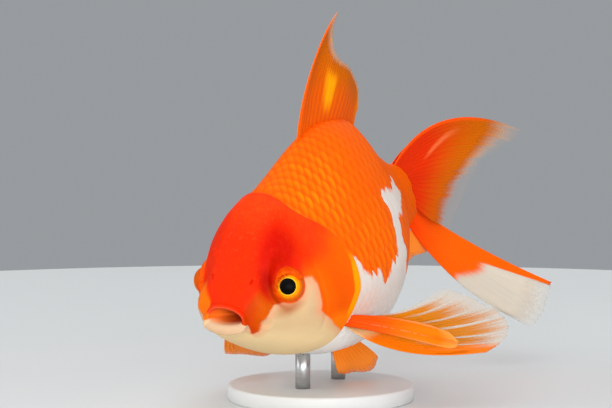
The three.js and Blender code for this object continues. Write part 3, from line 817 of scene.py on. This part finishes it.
# %% Lay the fins
FIN_MAKE = {
    "dorsal_fin": dict(columns=170, rays=19, ridge=0.08),
    "tail_fin_upper_left": dict(columns=150, rows=60, rays=20),
    "tail_fin_lower_left": dict(columns=130, rows=60, rays=16, fray=0.008),
    "tail_fin_upper_right": dict(columns=120, rays=18),
    "tail_fin_lower_right": dict(columns=130, rows=60, rays=16, fray=0.008),
    "anal_fin_left": dict(columns=70, rows=30, rays=9),
    "anal_fin_right": dict(columns=70, rows=30, rays=9),
    "pelvic_fin_left": dict(columns=80, rows=34, rays=10, rounded=0.14),
    "pelvic_fin_right": dict(columns=80, rows=34, rays=10, rounded=0.14),
    "pectoral_blade_left": dict(columns=60, rows=60, rays=4, ridge=0.05, thick=0.5, fray=0.0, rounded=0.07),
    "pectoral_fan_left": dict(columns=150, rows=60, rays=19, ridge=0.07),
    "pectoral_fin_right": dict(columns=100, rows=40, rays=15),
}
fins = {}
for name, making in FIN_MAKE.items():
    fins[name] = fin(name, **making)
    node = "pectoral_fin_left" if name.startswith("pectoral") and name.endswith("left") else name
    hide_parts(node)
print("fins made:", len(fins))

# %% [markdown]
# ## The eyes
# A goldfish's pupil is wide and flat black, with a bright gold ring round it that darkens to orange towards the edge.
# The ball is a smooth sphere with a slight cornea over the pupil, turned by its gaze. Its colours go by the degrees
# from that axis, so they can't slide over the ball.


# %% Eyeballs
def eyeball(name, eye, node):
    """A ball with a slight cornea over the pupil, and each vertex's distance from the axis."""
    form = bmesh.new()
    bmesh.ops.create_uvsphere(form, u_segments=96, v_segments=64, radius=1)
    made = mesh_object(name, form)
    ball = vertices_of(made.data)
    gaze = unit(eye["gaze"])
    side = unit(np.cross(gaze, (0, 0, 1)))
    up = np.cross(side, gaze)
    out = np.degrees(np.arccos(np.clip(ball[:, 2], -1, 1)))
    # a slight cornea over the pupil, and a shallow groove round the iris
    swell = 1 + 0.035 * ease(out, 48, 18) - 0.02 * ease(out, 46, 52) * ease(out, 66, 56)
    turned = np.outer(ball[:, 0], side) + np.outer(ball[:, 1], up) + np.outer(ball[:, 2], gaze)
    move_vertices(made.data, posed(np.array(eye["middle"]) + turned * (EYE_RADIUS * swell)[:, None]))
    store(made.data, "out", out)
    # how far towards the upper left, for the painted shade on the iris
    store(made.data, "corner", 0.75 * ball[:, 0] + 0.65 * ball[:, 1])
    lay_uv(made.data, "Iris", np.degrees(np.arctan2(ball[:, 1], ball[:, 0])) / 360 + 0.5, out / 180)
    face_out(made)
    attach(made, "root")
    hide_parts(node)
    return made


eyeballs = [eyeball("eyeball_" + side, EYES[side], "eye_" + side) for side in EYES]
print("eyeballs:", [o.name for o in eyeballs])

# %% [markdown]
# ## Finishes
# A finish is a small network of nodes. Writing it as sums of wires keeps it readable: the class below wraps one
# socket, and Python's own + - * / on it add the Math nodes. Every other node comes from its one method.


# %% Wires
class Wire:
    """One socket of a material. Sums of wires make Math nodes."""

    def __init__(self, tree, socket=None):
        self.tree, self.socket = tree, socket

    def node(self, kind, settings=None, inputs=None, output=0):
        """A node of that type: its settings are set first, then its sockets get values or wires."""
        made = self.tree.nodes.new(kind)
        for key, value in (settings or {}).items():
            setattr(made, key, value)
        for key, value in (inputs or {}).items():
            if isinstance(value, Wire):
                self.tree.links.new(value.socket, made.inputs[key])
            else:
                made.inputs[key].default_value = value
        return Wire(self.tree, made.outputs[output])

    def math(self, operation, first, second=0.0):
        return self.node("ShaderNodeMath", {"operation": operation}, {0: first, 1: second})

    __add__ = __radd__ = lambda self, other: self.math("ADD", self, other)
    __mul__ = __rmul__ = lambda self, other: self.math("MULTIPLY", self, other)
    __sub__ = lambda self, other: self.math("SUBTRACT", self, other)
    __rsub__ = lambda self, other: self.math("SUBTRACT", other, self)

    def mark(self, name):
        """A number that was stored on the mesh."""
        return self.node("ShaderNodeAttribute", {"attribute_name": name}, output=2)

    def uv(self, name):
        """A UV map, and its two numbers on wires of their own."""
        both = self.node("ShaderNodeUVMap", {"uv_map": name})
        apart = self.node("ShaderNodeSeparateXYZ", None, {0: both}).socket.node
        return both, Wire(self.tree, apart.outputs[0]), Wire(self.tree, apart.outputs[1])

    def eased(self, start, end):
        """0 to 1 as this wire goes from start to end."""
        return self.node(
            "ShaderNodeMapRange",
            {"interpolation_type": "SMOOTHSTEP"},
            {"Value": self, "From Min": start, "From Max": end},
        )

    def place(self):
        """The place on the model, in metres in its own frame."""
        return self.node("ShaderNodeTexCoord", output=3)

    def speckle(self, size, detail):
        """Noise with spots of that size in metres."""
        return self.node("ShaderNodeTexNoise", None, {"Vector": self.place(), "Scale": 0.5 / size, "Detail": detail})

    def streaked(self, place, stretch, detail=3.0, rough=0.5):
        """Noise over a place that is first stretched along each axis."""
        stretched = self.node("ShaderNodeMapping", None, {"Vector": place, "Scale": stretch})
        inputs = {"Vector": stretched, "Scale": 1.0, "Detail": detail, "Roughness": rough}
        return self.node("ShaderNodeTexNoise", None, inputs)

    def blend(self, share, first, second, how="MIX"):
        """Two colours mixed."""
        return self.node(
            "ShaderNodeMix", {"data_type": "RGBA", "blend_type": how}, {0: share, 6: first, 7: second}, output=2
        )

    def layers(self, color, *coats):
        """A colour with others laid over it in turn, each by its own share."""
        for share, over in coats:
            color = self.blend(share, color, over)
        return color

    def bump(self, height, depth, under=None):
        """A normal from a height; depth is in metres."""
        inputs = {"Height": height, "Distance": depth, "Strength": 1.0}
        if under is not None:
            inputs["Normal"] = under
        return self.node("ShaderNodeBump", None, inputs)


SHADER = "Principled BSDF"


def finish(name, fixed):
    """A material with fixed values on its shader's sockets, and a wire to start its network from."""
    material = bpy.data.materials.new(name)
    material.use_nodes = True
    for key, value in fixed.items():
        material.node_tree.nodes[SHADER].inputs[key].default_value = value
    return material, Wire(material.node_tree)


def connect(material, **wires):
    """Links what varies to the shader's sockets."""
    for key, wire in wires.items():
        socket = material.node_tree.nodes[SHADER].inputs[key.replace("_", " ")]
        material.node_tree.links.new(wire.socket, socket)


def wear(material, *objects):
    for made in objects:
        made.data.materials.clear()
        made.data.materials.append(material)


# %% [markdown]
# ## Colours
# The coat's orange comes from pigment under a clear, moist outer skin. So the pigment's colour is strong, the surface
# over it is smooth, and a thin coat layer carries the shine.

# %% Palette
ORANGE = (0.93, 0.118, 0.0008, 1)
DEEP_ORANGE = (0.88, 0.088, 0.0006, 1)
# the colour of the painted shade on the gill cover
GILL_SHADE_ORANGE = (0.74, 0.085, 0.0006, 1)
LOW_ORANGE = (0.93, 0.19, 0.001, 1)
# golden shine on the scales: painted highlight over their own golden tint
GOLD_SHINE = (1.0, 0.25, 0.002, 1)
AMBER = (0.92, 0.33, 0.0008, 1)
RED = (0.95, 0.042, 0.004, 1)
RED_ORANGE = (0.93, 0.062, 0.002, 1)
PALE_RED = (1.0, 0.10, 0.045, 1)
FACE_RED = (0.75, 0.02, 0.0005, 1)
BROW_RED = (0.54, 0.010, 0.0005, 1)
CRIMSON = (0.58, 0.006, 0.0006, 1)
# the colour of the painted shade in the dent before the eye
DENT_SHADE_RED = (0.40, 0.003, 0.001, 1)
FRONT_BROWN = (0.46, 0.045, 0.0004, 1)
PATCH_BROWN = (0.56, 0.036, 0.0003, 1)
PATCH_ORANGE = (0.60, 0.084, 0.0003, 1)
PATCH_LIT = (0.93, 0.16, 0.0008, 1)
RING_LIT, RING_DEEP = (0.88, 0.11, 0.001, 1), (0.70, 0.05, 0.001, 1)
CREAM = (0.67, 0.465, 0.245, 1)
CHEEK_SHADE = (0.68, 0.46, 0.25, 1)
# painted shade for the upper rear cheek
SHADED_UPPER_CREAM = (0.60, 0.39, 0.22, 1)
# LIT_CREAM here and LIT_WHITE below: painted light on the underside, over its own paler tone
LIT_CREAM = (0.83, 0.61, 0.325, 1)
# the colour of the painted shadow under the eye
PAINTED_EYE_SHADOW = (0.50, 0.22, 0.095, 1)
BLUSH = (0.76, 0.34, 0.18, 1)
# the second colour is a painted highlight along the upper lip
LIP_PEACH, LIP_HIGHLIGHT = (0.64, 0.415, 0.25, 1), (0.98, 0.24, 0.10, 1)
WHITE = (0.75, 0.68, 0.625, 1)
WHITE_ROSE = (0.80, 0.55, 0.44, 1)
WHITE_RIM = (0.84, 0.80, 0.76, 1)
LIT_WHITE = (0.98, 0.97, 0.94, 1)
MOUTH_DARK, MOUTH_LIT = (0.34, 0.03, 0.004, 1), (0.86, 0.20, 0.02, 1)

# %% Skin finish
skin_finish, w = finish(
    "moist_skin",
    {
        "Specular IOR Level": 0.03,
        "Coat Weight": 0.012,
        "Coat Roughness": 0.2,
        "Subsurface Weight": 0.06,
        "Subsurface Radius": (1.0, 0.25, 0.1),
        "Subsurface Scale": 0.001,
        "Sheen Weight": 0.035,
        "Sheen Roughness": 0.25,
        "Sheen Tint": (1.0, 0.42, 0.32, 1),
    },
)
fine, grain, broad = w.speckle(0.0004, 3), w.speckle(0.0009, 3), w.speckle(0.003, 3)
edge = broad - 0.5 + (fine - 0.5) * 0.5
left, blush = w.mark("left"), w.mark("blush")
# the white lightened underneath: painted light from below
white = w.blend(w.mark("under"), WHITE, LIT_WHITE)
body = w.layers(
    ORANGE,
    (broad.eased(0.35, 0.7), DEEP_ORANGE),
    ((w.mark("white") + edge).eased(-0.25, 0.25), white),
)
patch = w.layers(PATCH_BROWN, (left.eased(0.055, 0.095), PATCH_ORANGE), (left.eased(-0.01, -0.05), PATCH_LIT))
red = w.layers(
    RED,
    (grain.eased(0.35, 0.65) * 0.5, RED_ORANGE),
    (w.mark("deep") * 0.85, FACE_RED),
    (fine.eased(0.56, 0.72) * w.mark("cap") * 0.16, PALE_RED),
)
cream = w.layers(
    CREAM,
    (broad.eased(0.4, 0.75), CHEEK_SHADE),
    # painted shade on the upper rear cheek
    (blush * 0.5, SHADED_UPPER_CREAM),
    # painted light on the underside
    (w.mark("under"), LIT_CREAM),
    # painted shadow under the eye
    ((w.mark("eye_shade") + w.mark("under_eye") + (broad - 0.5) * 0.3) * 0.75, PAINTED_EYE_SHADOW),
    (w.mark("cream").eased(2.2, 0.1) * (0.6 + 0.35 * blush), BLUSH),
)
face = w.layers(
    ORANGE,
    (broad.eased(0.3, 0.7) * 0.5, DEEP_ORANGE),
    # painted shade on the gill cover
    (w.mark("shade") * 0.6, GILL_SHADE_ORANGE),
    (w.mark("amber"), patch),
    ((w.mark("red") + (broad - 0.5) * 0.35).eased(0.1, 0.85), red),
    # deeper red above the eye, with painted shade in the dent
    ((w.mark("crimson") + (grain - 0.5) * 0.3).eased(0.0, 0.85), CRIMSON),
    (w.mark("brow") * 0.8, BROW_RED),
    # painted shade in the dent before the eye
    ((w.mark("dark") + (grain - 0.5) * 0.3).eased(0.3, 1.15), DENT_SHADE_RED),
    (w.mark("eye_front") * 0.8, FRONT_BROWN),
    (w.mark("gill_low"), LOW_ORANGE),
    ((w.mark("strip") + (fine - 0.5) * 0.4).eased(0.0, 1.0), AMBER),
    ((w.mark("cream") + edge * 0.7).eased(-0.3, 0.3), cream),
    (w.mark("eye_ring") * 0.95, w.blend(fine.eased(0.35, 0.65) * 0.8, RING_LIT, RING_DEEP)),
    (w.mark("low_lip") * w.mark("cream").eased(-0.2, 0.2), LIP_PEACH),
    # painted highlight on the upper lip
    (w.mark("lip_line") * 0.28, LIP_HIGHLIGHT),
    # painted shade in the nostril pits
    (w.mark("pit") * 0.6, CRIMSON),
    (w.mark("mouth"), w.blend(left.eased(-0.04, 0.035), MOUTH_LIT, MOUTH_DARK)),
)
connect(
    skin_finish,
    Base_Color=w.blend(w.mark("head"), body, face),
    Roughness=0.42 + 0.2 * fine,
    Normal=w.bump(w.speckle(0.0003, 2), 0.00006, w.bump(grain * (0.4 + w.mark("cap")), 0.00022)),
)
wear(skin_finish, skin)
print("skin finish made")

# %% Scale finish
scale_finish, w = finish("scale_plate", {"Specular IOR Level": 0.035, "Coat Weight": 0.015, "Coat Roughness": 0.2})
lie, across, along = w.uv("Lie")
from_middle = w.math("ABSOLUTE", across - 0.5) * 2
fine, broad, tone = w.speckle(0.0004, 3), w.speckle(0.004, 2), w.mark("tone")
# painted shade at each scale's front, where the scale before it lies over it
root_shade = along.eased(0.66, 0.3)
# painted shine on each scale's exposed middle, over the scale's own golden tint
painted_shine = along.eased(0.45, 0.72) * along.eased(0.98, 0.82) * from_middle.eased(0.95, 0.2)
orange = w.layers(
    ORANGE,
    (tone * 0.3 + broad.eased(0.3, 0.7) * 0.3, DEEP_ORANGE),
    (root_shade * 0.55, DEEP_ORANGE),
    (painted_shine * (0.25 + 0.75 * w.mark("gold")) * (0.4 + 0.6 * tone), GOLD_SHINE),
)
white = w.layers(
    WHITE,
    # painted shade at the scale's front, and the rose patch
    (root_shade * 0.5 + w.mark("rose") * 0.5, WHITE_ROSE),
    (along.eased(0.84, 0.96) * 0.2, WHITE_RIM),
    # painted light on the underside
    (w.mark("under") * 0.9, LIT_WHITE),
)
edge = (broad - 0.5) * 0.8 + (fine - 0.5) * 0.6
ridges = w.node(
    "ShaderNodeTexWave",
    {"wave_type": "BANDS", "bands_direction": "Y"},
    {"Vector": lie, "Scale": 3.2, "Distortion": 1.2, "Detail": 1.0},
    output=1,
)
connect(
    scale_finish,
    Base_Color=w.blend((w.mark("white") + edge).eased(-0.22, 0.22), orange, white),
    Roughness=0.36 + 0.2 * fine,
    Metallic=0.1 * painted_shine,
    Normal=w.bump(ridges, 0.00002, w.bump(fine, 0.00004)),
)
wear(scale_finish, scales)
print("scale finish made")

# %% [markdown]
# ## Fin finishes
# Near the body a fin is as strongly coloured as the coat. Outwards the pigment thins, first between the rays and then
# altogether, and the web turns clear. So colour and clearness both follow the web's own map, across and along it.

# %% Fin palette
FIN_RED = (0.70, 0.027, 0.0005, 1)
FIN_ORANGE = (0.95, 0.125, 0.0008, 1)
FIN_BROWN = (0.55, 0.115, 0.0004, 1)
# the colour of the painted glow through the dorsal fin
FIN_GLOW_YELLOW = (0.96, 0.33, 0.0008, 1)
FIN_PALE = (0.72, 0.45, 0.22, 1)
FIN_WHITE = (0.66, 0.60, 0.505, 1)
FIN_PEACH = (1.0, 0.30, 0.09, 1)
RAY_TINT = (0.78, 0.62, 0.5, 1)


# %% Fin finish maker
def fin_finish(name, root, outer, turn_at, clear_from, clear, streak, rays_dark=0.28, extra=None):
    """A fin's finish: root colour to outer colour about turn_at, clear from clear_from outwards."""
    material, w = finish(name, {"Specular IOR Level": 0.05})
    web, across, along = w.uv("Web")
    streaks = w.streaked(web, (34, 1.6, 1), rough=0.6)
    ray = w.mark("ray") * 0.5 + 0.5
    fine = w.speckle(0.0005, 2)
    turning = (along + (streaks - 0.5) * streak * 0.5).eased(turn_at - 0.25, turn_at + 0.25)
    color = w.blend(turning, root, outer)
    color = w.blend(ray.eased(0.2, 0.9) * rays_dark, color, w.blend(1.0, color, RAY_TINT, "MULTIPLY"))
    gone = (along + (streaks - 0.5) * streak + (0.5 - ray) * 0.06).eased(clear_from, 1.02) * clear
    if extra:
        color, gone = extra(w, across, along, streaks, color, gone)
    connect(material, Base_Color=color, Alpha=1 - gone, Roughness=0.34 + 0.2 * fine, Normal=w.bump(fine, 0.00004))
    return material


# %% Dorsal
def dorsal_marks(w, across, along, streaks, color, gone):
    # painted light: a yellow glow where light shines through the fin's fold
    painted_glow = (across + (along - 0.5) * 0.1).eased(0.32, 0.4) * across.eased(0.5, 0.44)
    color = w.layers(
        color,
        (streaks.eased(0.45, 0.7) * along.eased(0.2, 0.5) * 0.5, FIN_BROWN),
        (across.eased(0.10, 0.02) * 0.9, (1.0, 0.13, 0.001, 1)),
        (painted_glow * along.eased(0.2, 0.42) * along.eased(0.8, 0.6), FIN_GLOW_YELLOW),
        (across.eased(0.84, 1.0) * along.eased(0.2, 0.5) * 0.6, (0.85, 0.20, 0.006, 1)),
        (along.eased(0.86, 1.0) * 0.6, FIN_PALE),
    )
    return color, gone


dorsal = fin_finish(
    "dorsal_web", (0.76, 0.10, 0.0005, 1), FIN_BROWN,
    turn_at=0.6, clear_from=0.84, clear=0.7, streak=0.3, extra=dorsal_marks,
)
wear(dorsal, fins["dorsal_fin"])
print("made:", dorsal.name)


# %% Tail
def upper_tail_marks(w, across, along, streaks, color, gone):
    """A painted highlight that curves over the lobe, and a web that clears sooner towards its rear edge."""
    further = along - 0.34
    streak_at = across - 0.36 + further * (1.15 - 1.6 * further)
    painted_highlight = streak_at.eased(0.07, 0.0) * streak_at.eased(-0.07, 0.0)
    color = w.layers(
        color,
        (across.eased(0.07, 0.0) * along.eased(0.95, 0.6), (0.98, 0.09, 0.003, 1)),
        # painted highlight along the lobe's fold
        (painted_highlight * along.eased(0.3, 0.38) * along.eased(0.64, 0.44) * 0.38, FIN_PEACH),
        (along.eased(0.78, 0.98) * 0.75, FIN_PALE),
    )
    far = along + across.eased(0.35, 0.9) * 0.12 + (streaks - 0.5) * 0.22
    return color, far.eased(0.76, 1.0) * 0.97


def lower_tail_marks(w, across, along, streaks, color, gone):
    """An outer part in white, with the orange drawn out along the leading ray."""
    start = 0.60 + across.eased(0.9, 0.34) * 0.09 + (streaks - 0.5) * 0.10 + across.eased(0.27, 0.03) * 0.42
    white = (along - start).eased(-0.03, 0.03)
    white_color = w.blend(streaks.eased(0.3, 0.7) * 0.5, FIN_WHITE, (0.80, 0.66, 0.52, 1))
    margin = (along + (streaks - 0.5) * 0.06).eased(0.88, 1.0)
    return w.blend(white, color, white_color), white * (0.08 + 0.75 * margin)


upper = fin_finish(
    "upper_tail_web", FIN_RED, FIN_BROWN,
    turn_at=0.55, clear_from=0.7, clear=0.8, streak=0.4, extra=upper_tail_marks,
)
lower = fin_finish(
    "lower_tail_web", (0.98, 0.05, 0.001, 1), FIN_ORANGE,
    turn_at=0.3, clear_from=0.8, clear=0.5, streak=0.3, extra=lower_tail_marks,
)
for side in ("left", "right"):
    wear(upper, fins["tail_fin_upper_" + side])
    wear(lower, fins["tail_fin_lower_" + side])
print("made:", upper.name, lower.name)


# %% Paired fins
def fan_marks(w, across, along, streaks, color, gone):
    """Clear lines between the rays, and a fold of skin at the root."""
    solid = across.eased(0.24, 0.1)
    wave = w.math("SINE", across * 42 + (streaks - 0.5) * 2)
    clear_ray = (wave + (streaks - 0.5) * 0.8).eased(-0.66, -0.95) * along.eased(0.42, 0.75)
    top = across.eased(0.92, 1.0)
    far = (along + (streaks - 0.5) * 0.4 + top * 0.5 + across.eased(0.5, 0.9) * 0.1).eased(0.76, 1.06)
    bare = w.math("MAXIMUM", clear_ray, far) * (1 - solid * 0.95)
    skin_fold = along.eased(0.25, 0.13) * across.eased(0.6, 0.3)
    color = w.layers(
        color,
        (across.eased(0.36, 0.12), (0.92, 0.185, 0.0003, 1)),
        (bare * 0.85, (0.64, 0.55, 0.41, 1)),
        (skin_fold, (1.0, 0.62, 0.24, 1)),
    )
    thin = 0.25 * along.eased(0.4, 0.9) * (1 - solid)
    return color, thin + bare * 0.45 + top * 0.2 + along.eased(0.85, 1.0) * 0.1 + skin_fold * 0.35


def blade_marks(w, across, along, streaks, color, gone):
    """A paler rim and tip, and a row of painted glints along one ray."""
    rim = 1 - across.eased(0.0, 0.07) * across.eased(1.0, 0.93) * along.eased(1.0, 0.95)
    tip = along.eased(0.84, 0.97)
    # painted glints on the ray segments, in a row along one ray
    painted_glints = (across - 0.6).eased(0.035, 0.0) * (across - 0.6).eased(-0.035, 0.0) * along.eased(0.2, 0.3)
    painted_glints = painted_glints * along.eased(0.85, 0.7) * w.speckle(0.0005, 1).eased(0.46, 0.54)
    color = w.layers(
        color,
        (rim * 0.6 * along.eased(0.3, 0.7), FIN_PEACH),
        (tip * 0.6, (0.95, 0.36, 0.06, 1)),
        (painted_glints * 0.42, (1.0, 0.36, 0.24, 1)),
    )
    return color, tip * 0.1


fan = fin_finish(
    "fan_web", (0.82, 0.13, 0.0006, 1), (0.64, 0.205, 0.001, 1),
    turn_at=0.3, clear_from=0.6, clear=0.8, streak=0.4, extra=fan_marks,
)
blade = fin_finish(
    "blade_web", (0.97, 0.08, 0.001, 1), (0.98, 0.185, 0.001, 1),
    turn_at=0.5, clear_from=0.95, clear=0.1, streak=0.2, rays_dark=0.12, extra=blade_marks,
)
small = fin_finish(
    "small_web", (1.0, 0.23, 0.012, 1), (1.0, 0.28, 0.03, 1),
    turn_at=0.5, clear_from=0.78, clear=0.4, streak=0.4, rays_dark=0.12,
)
wear(fan, fins["pectoral_fan_left"])
wear(blade, fins["pectoral_blade_left"])
wear(small, *(fins[n] for n in fins if n.startswith(("anal", "pelvic"))), fins["pectoral_fin_right"])
print("made:", fan.name, blade.name, small.name)

# %% [markdown]
# ## Eye finish
# Rings by degrees out from the gaze: a black pupil, its pale line, yellow gold with fine spokes, then orange and a
# brown edge. Painted shade darkens the iris towards its upper left. The whole ball is wet, so it has a smooth coat.

# %% Eye colours
eye_finish, w = finish(
    "wet_eye", {"Roughness": 0.3, "Specular IOR Level": 0.03, "Coat Weight": 0.02, "Coat Roughness": 0.03}
)
out = w.mark("out")
spokes = w.streaked(w.node("ShaderNodeUVMap", {"uv_map": "Iris"}), (60, 5, 1))
wobble = out + (spokes - 0.5) * 3
# painted shade over the iris's upper left
corner = w.mark("corner").eased(0.25, 0.6) * (0.35 + 0.65 * spokes.eased(0.35, 0.6))
color = w.layers(
    (1.0, 0.56, 0.02, 1),
    (wobble.eased(33, 41), w.blend(spokes.eased(0.3, 0.7), (0.97, 0.37, 0.003, 1), (0.93, 0.26, 0.002, 1))),
    (corner, (0.50, 0.10, 0.003, 1)),
    (wobble.eased(49, 58), (0.80, 0.15, 0.002, 1)),
    (wobble.eased(62, 78), (0.60, 0.085, 0.001, 1)),
    (out.eased(33.5, 31.8), (0.002, 0.002, 0.002, 1)),
)
connect(eye_finish, Base_Color=color, Normal=w.bump(spokes, 0.00003))
wear(eye_finish, *eyeballs)
print("eye finish made")

# %% [markdown]
# ## The stand
# A plain turned disc with a rounded edge, satin white, and two short steel rods that end just inside the belly. The
# disc is spun from its profile, which gives a truer edge than a many-sided prism.

# %% Disc
disc_low, disc_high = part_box("stand_base")
radius = (disc_high.x - disc_low.x) / 2
EDGE = 0.0006
profile = [(0, 0), (radius - EDGE / 2, 0), (radius, EDGE / 2), (radius, disc_high.z - EDGE)]
profile += [
    (radius - EDGE * (1 - math.cos(t)), disc_high.z - EDGE * (1 - math.sin(t)))
    for t in np.linspace(0.3, math.pi / 2, 5)
]
profile += [(0, disc_high.z)]
form = bmesh.new()
line = [form.verts.new((x, 0, z)) for x, z in profile]
edges = [form.edges.new(pair) for pair in zip(line, line[1:])]
bmesh.ops.spin(
    form, geom=line + edges, cent=(0, 0, 0), axis=(0, 0, 1), angle=2 * math.pi, steps=144, use_merge=True
)
bmesh.ops.remove_doubles(form, verts=form.verts[:], dist=1e-6)
bmesh.ops.recalc_face_normals(form, faces=form.faces[:])
disc = mesh_object("stand_disc", form)
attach(disc, "root")
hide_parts("stand_base")
print("disc radius, mm:", round(radius * 1000, 1))

# %% Rods
INTO_BELLY, INTO_DISC = 0.001, 0.0002
rods = []
for name in ("stand_rod_front", "stand_rod_rear"):
    low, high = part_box(name)
    bottom, top = disc_high.z - INTO_DISC, high.z + INTO_BELLY
    form = bmesh.new()
    bmesh.ops.create_cone(
        form,
        cap_ends=True,
        segments=48,
        radius1=(high.x - low.x) / 2,
        radius2=(high.x - low.x) / 2,
        depth=top - bottom,
        matrix=Matrix.Translation(((low.x + high.x) / 2, (low.y + high.y) / 2, (top + bottom) / 2)),
    )
    rod = mesh_object(name + "_round", form, smooth=False)
    for face in rod.data.polygons:
        face.use_smooth = abs(face.normal.z) < 0.5
    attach(rod, "root")
    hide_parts(name)
    rods.append(rod)
print("rods:", len(rods))

# %% Stand finishes
paint, w = finish("satin_white", {"Coat Weight": 0.1, "Coat Roughness": 0.3})
grain = w.speckle(0.0003, 2)
connect(
    paint,
    Base_Color=w.blend(w.speckle(0.006, 3).eased(0.3, 0.7) * 0.25, (0.74, 0.74, 0.725, 1), (0.66, 0.665, 0.66, 1)),
    Roughness=0.42 + 0.12 * grain,
    Normal=w.bump(grain, 0.00002),
)
wear(paint, disc)
steel, w = finish("brushed_rod", {"Metallic": 1.0})
brush = w.streaked(w.place(), (600, 600, 9000), detail=2.0)
connect(
    steel,
    Base_Color=w.blend(brush.eased(0.3, 0.7), (0.60, 0.61, 0.62, 1), (0.50, 0.51, 0.52, 1)),
    Roughness=0.26 + 0.14 * brush,
)
wear(steel, *rods)
print("stand finishes made")

# %% [markdown]
# ## Room, light and camera
# A round pale floor lies under the stand, with an even grey all round. Six square lights hang about the fish, a high
# one ahead, fills in front and on both sides, a rim light behind and a low one for the chin. All are large for
# such a small subject, so that the shine stays soft.

# %% Floor and surround
FLOOR_RADIUS = 0.29
form = bmesh.new()
bmesh.ops.create_circle(form, cap_ends=True, segments=128, radius=FLOOR_RADIUS)
floor = mesh_object("floor", form)
paper, w = finish("pale_floor", {"Roughness": 0.7})
connect(paper, Base_Color=w.blend(w.speckle(0.05, 3), (0.66, 0.685, 0.685, 1), (0.71, 0.725, 0.72, 1)))
wear(paper, floor)
world = bpy.data.worlds.new("surround")
bpy.context.scene.world = world
world.use_nodes = True
surround = world.node_tree.nodes["Background"].inputs
surround["Color"].default_value = (0.315, 0.328, 0.345, 1)
surround["Strength"].default_value = 1.0
bpy.context.scene.view_settings.view_transform = "Standard"
print("floor radius, m:", FLOOR_RADIUS)


# %% Lights
def away_from_fish(azimuth, elevation):
    """A direction by degrees: azimuth 0 is straight ahead of the fish, and more is towards its left."""
    turned, raised = math.radians(azimuth), math.radians(elevation)
    return Vector((math.sin(turned) * math.cos(raised), -math.cos(turned) * math.cos(raised), math.sin(raised)))


def looking_back(name, data, place, away):
    """A light or camera at a place, that looks against the direction away."""
    made = bpy.data.objects.new(name, data)
    made.location = place
    made.rotation_euler = away.to_track_quat("Z", "Y").to_euler()
    bpy.context.scene.collection.objects.link(made)
    return made


LIGHTS = {  # azimuth and elevation in degrees, distance and size in metres, power in watts
    "key": (12, 62, 0.9, 1.0, 4.0),
    "fill": (62, 5, 0.9, 0.8, 3.6),
    "front": (22, 0, 0.9, 0.7, 3.5),
    "side": (-50, 22, 0.9, 0.8, 2.8),
    "rim": (190, 50, 0.9, 0.8, 2.2),
    "low": (34, -3, 0.55, 0.32, 1.3),
}
middle = posed_point((0, 0.5, 0.05))
for name, (azimuth, elevation, distance, size, power) in LIGHTS.items():
    lamp = bpy.data.lights.new(name, "AREA")
    lamp.size, lamp.energy = size, power
    away = away_from_fish(azimuth, elevation)
    looking_back(name, lamp, middle + away * distance, away)
print("lights:", len(LIGHTS))

# %% Camera
CAMERA_FROM_SNOUT = Vector((0.2182, -0.3516, 0.0504))
lens = bpy.data.cameras.new("camera")
lens.lens, lens.sensor_width = 124.2, 36
lens.clip_start, lens.clip_end = 0.01, 10
camera = looking_back("camera", lens, snout + CAMERA_FROM_SNOUT, away_from_fish(29.5, 4))
bpy.context.scene.camera = camera
print("camera at", [round(v, 3) for v in camera.location])
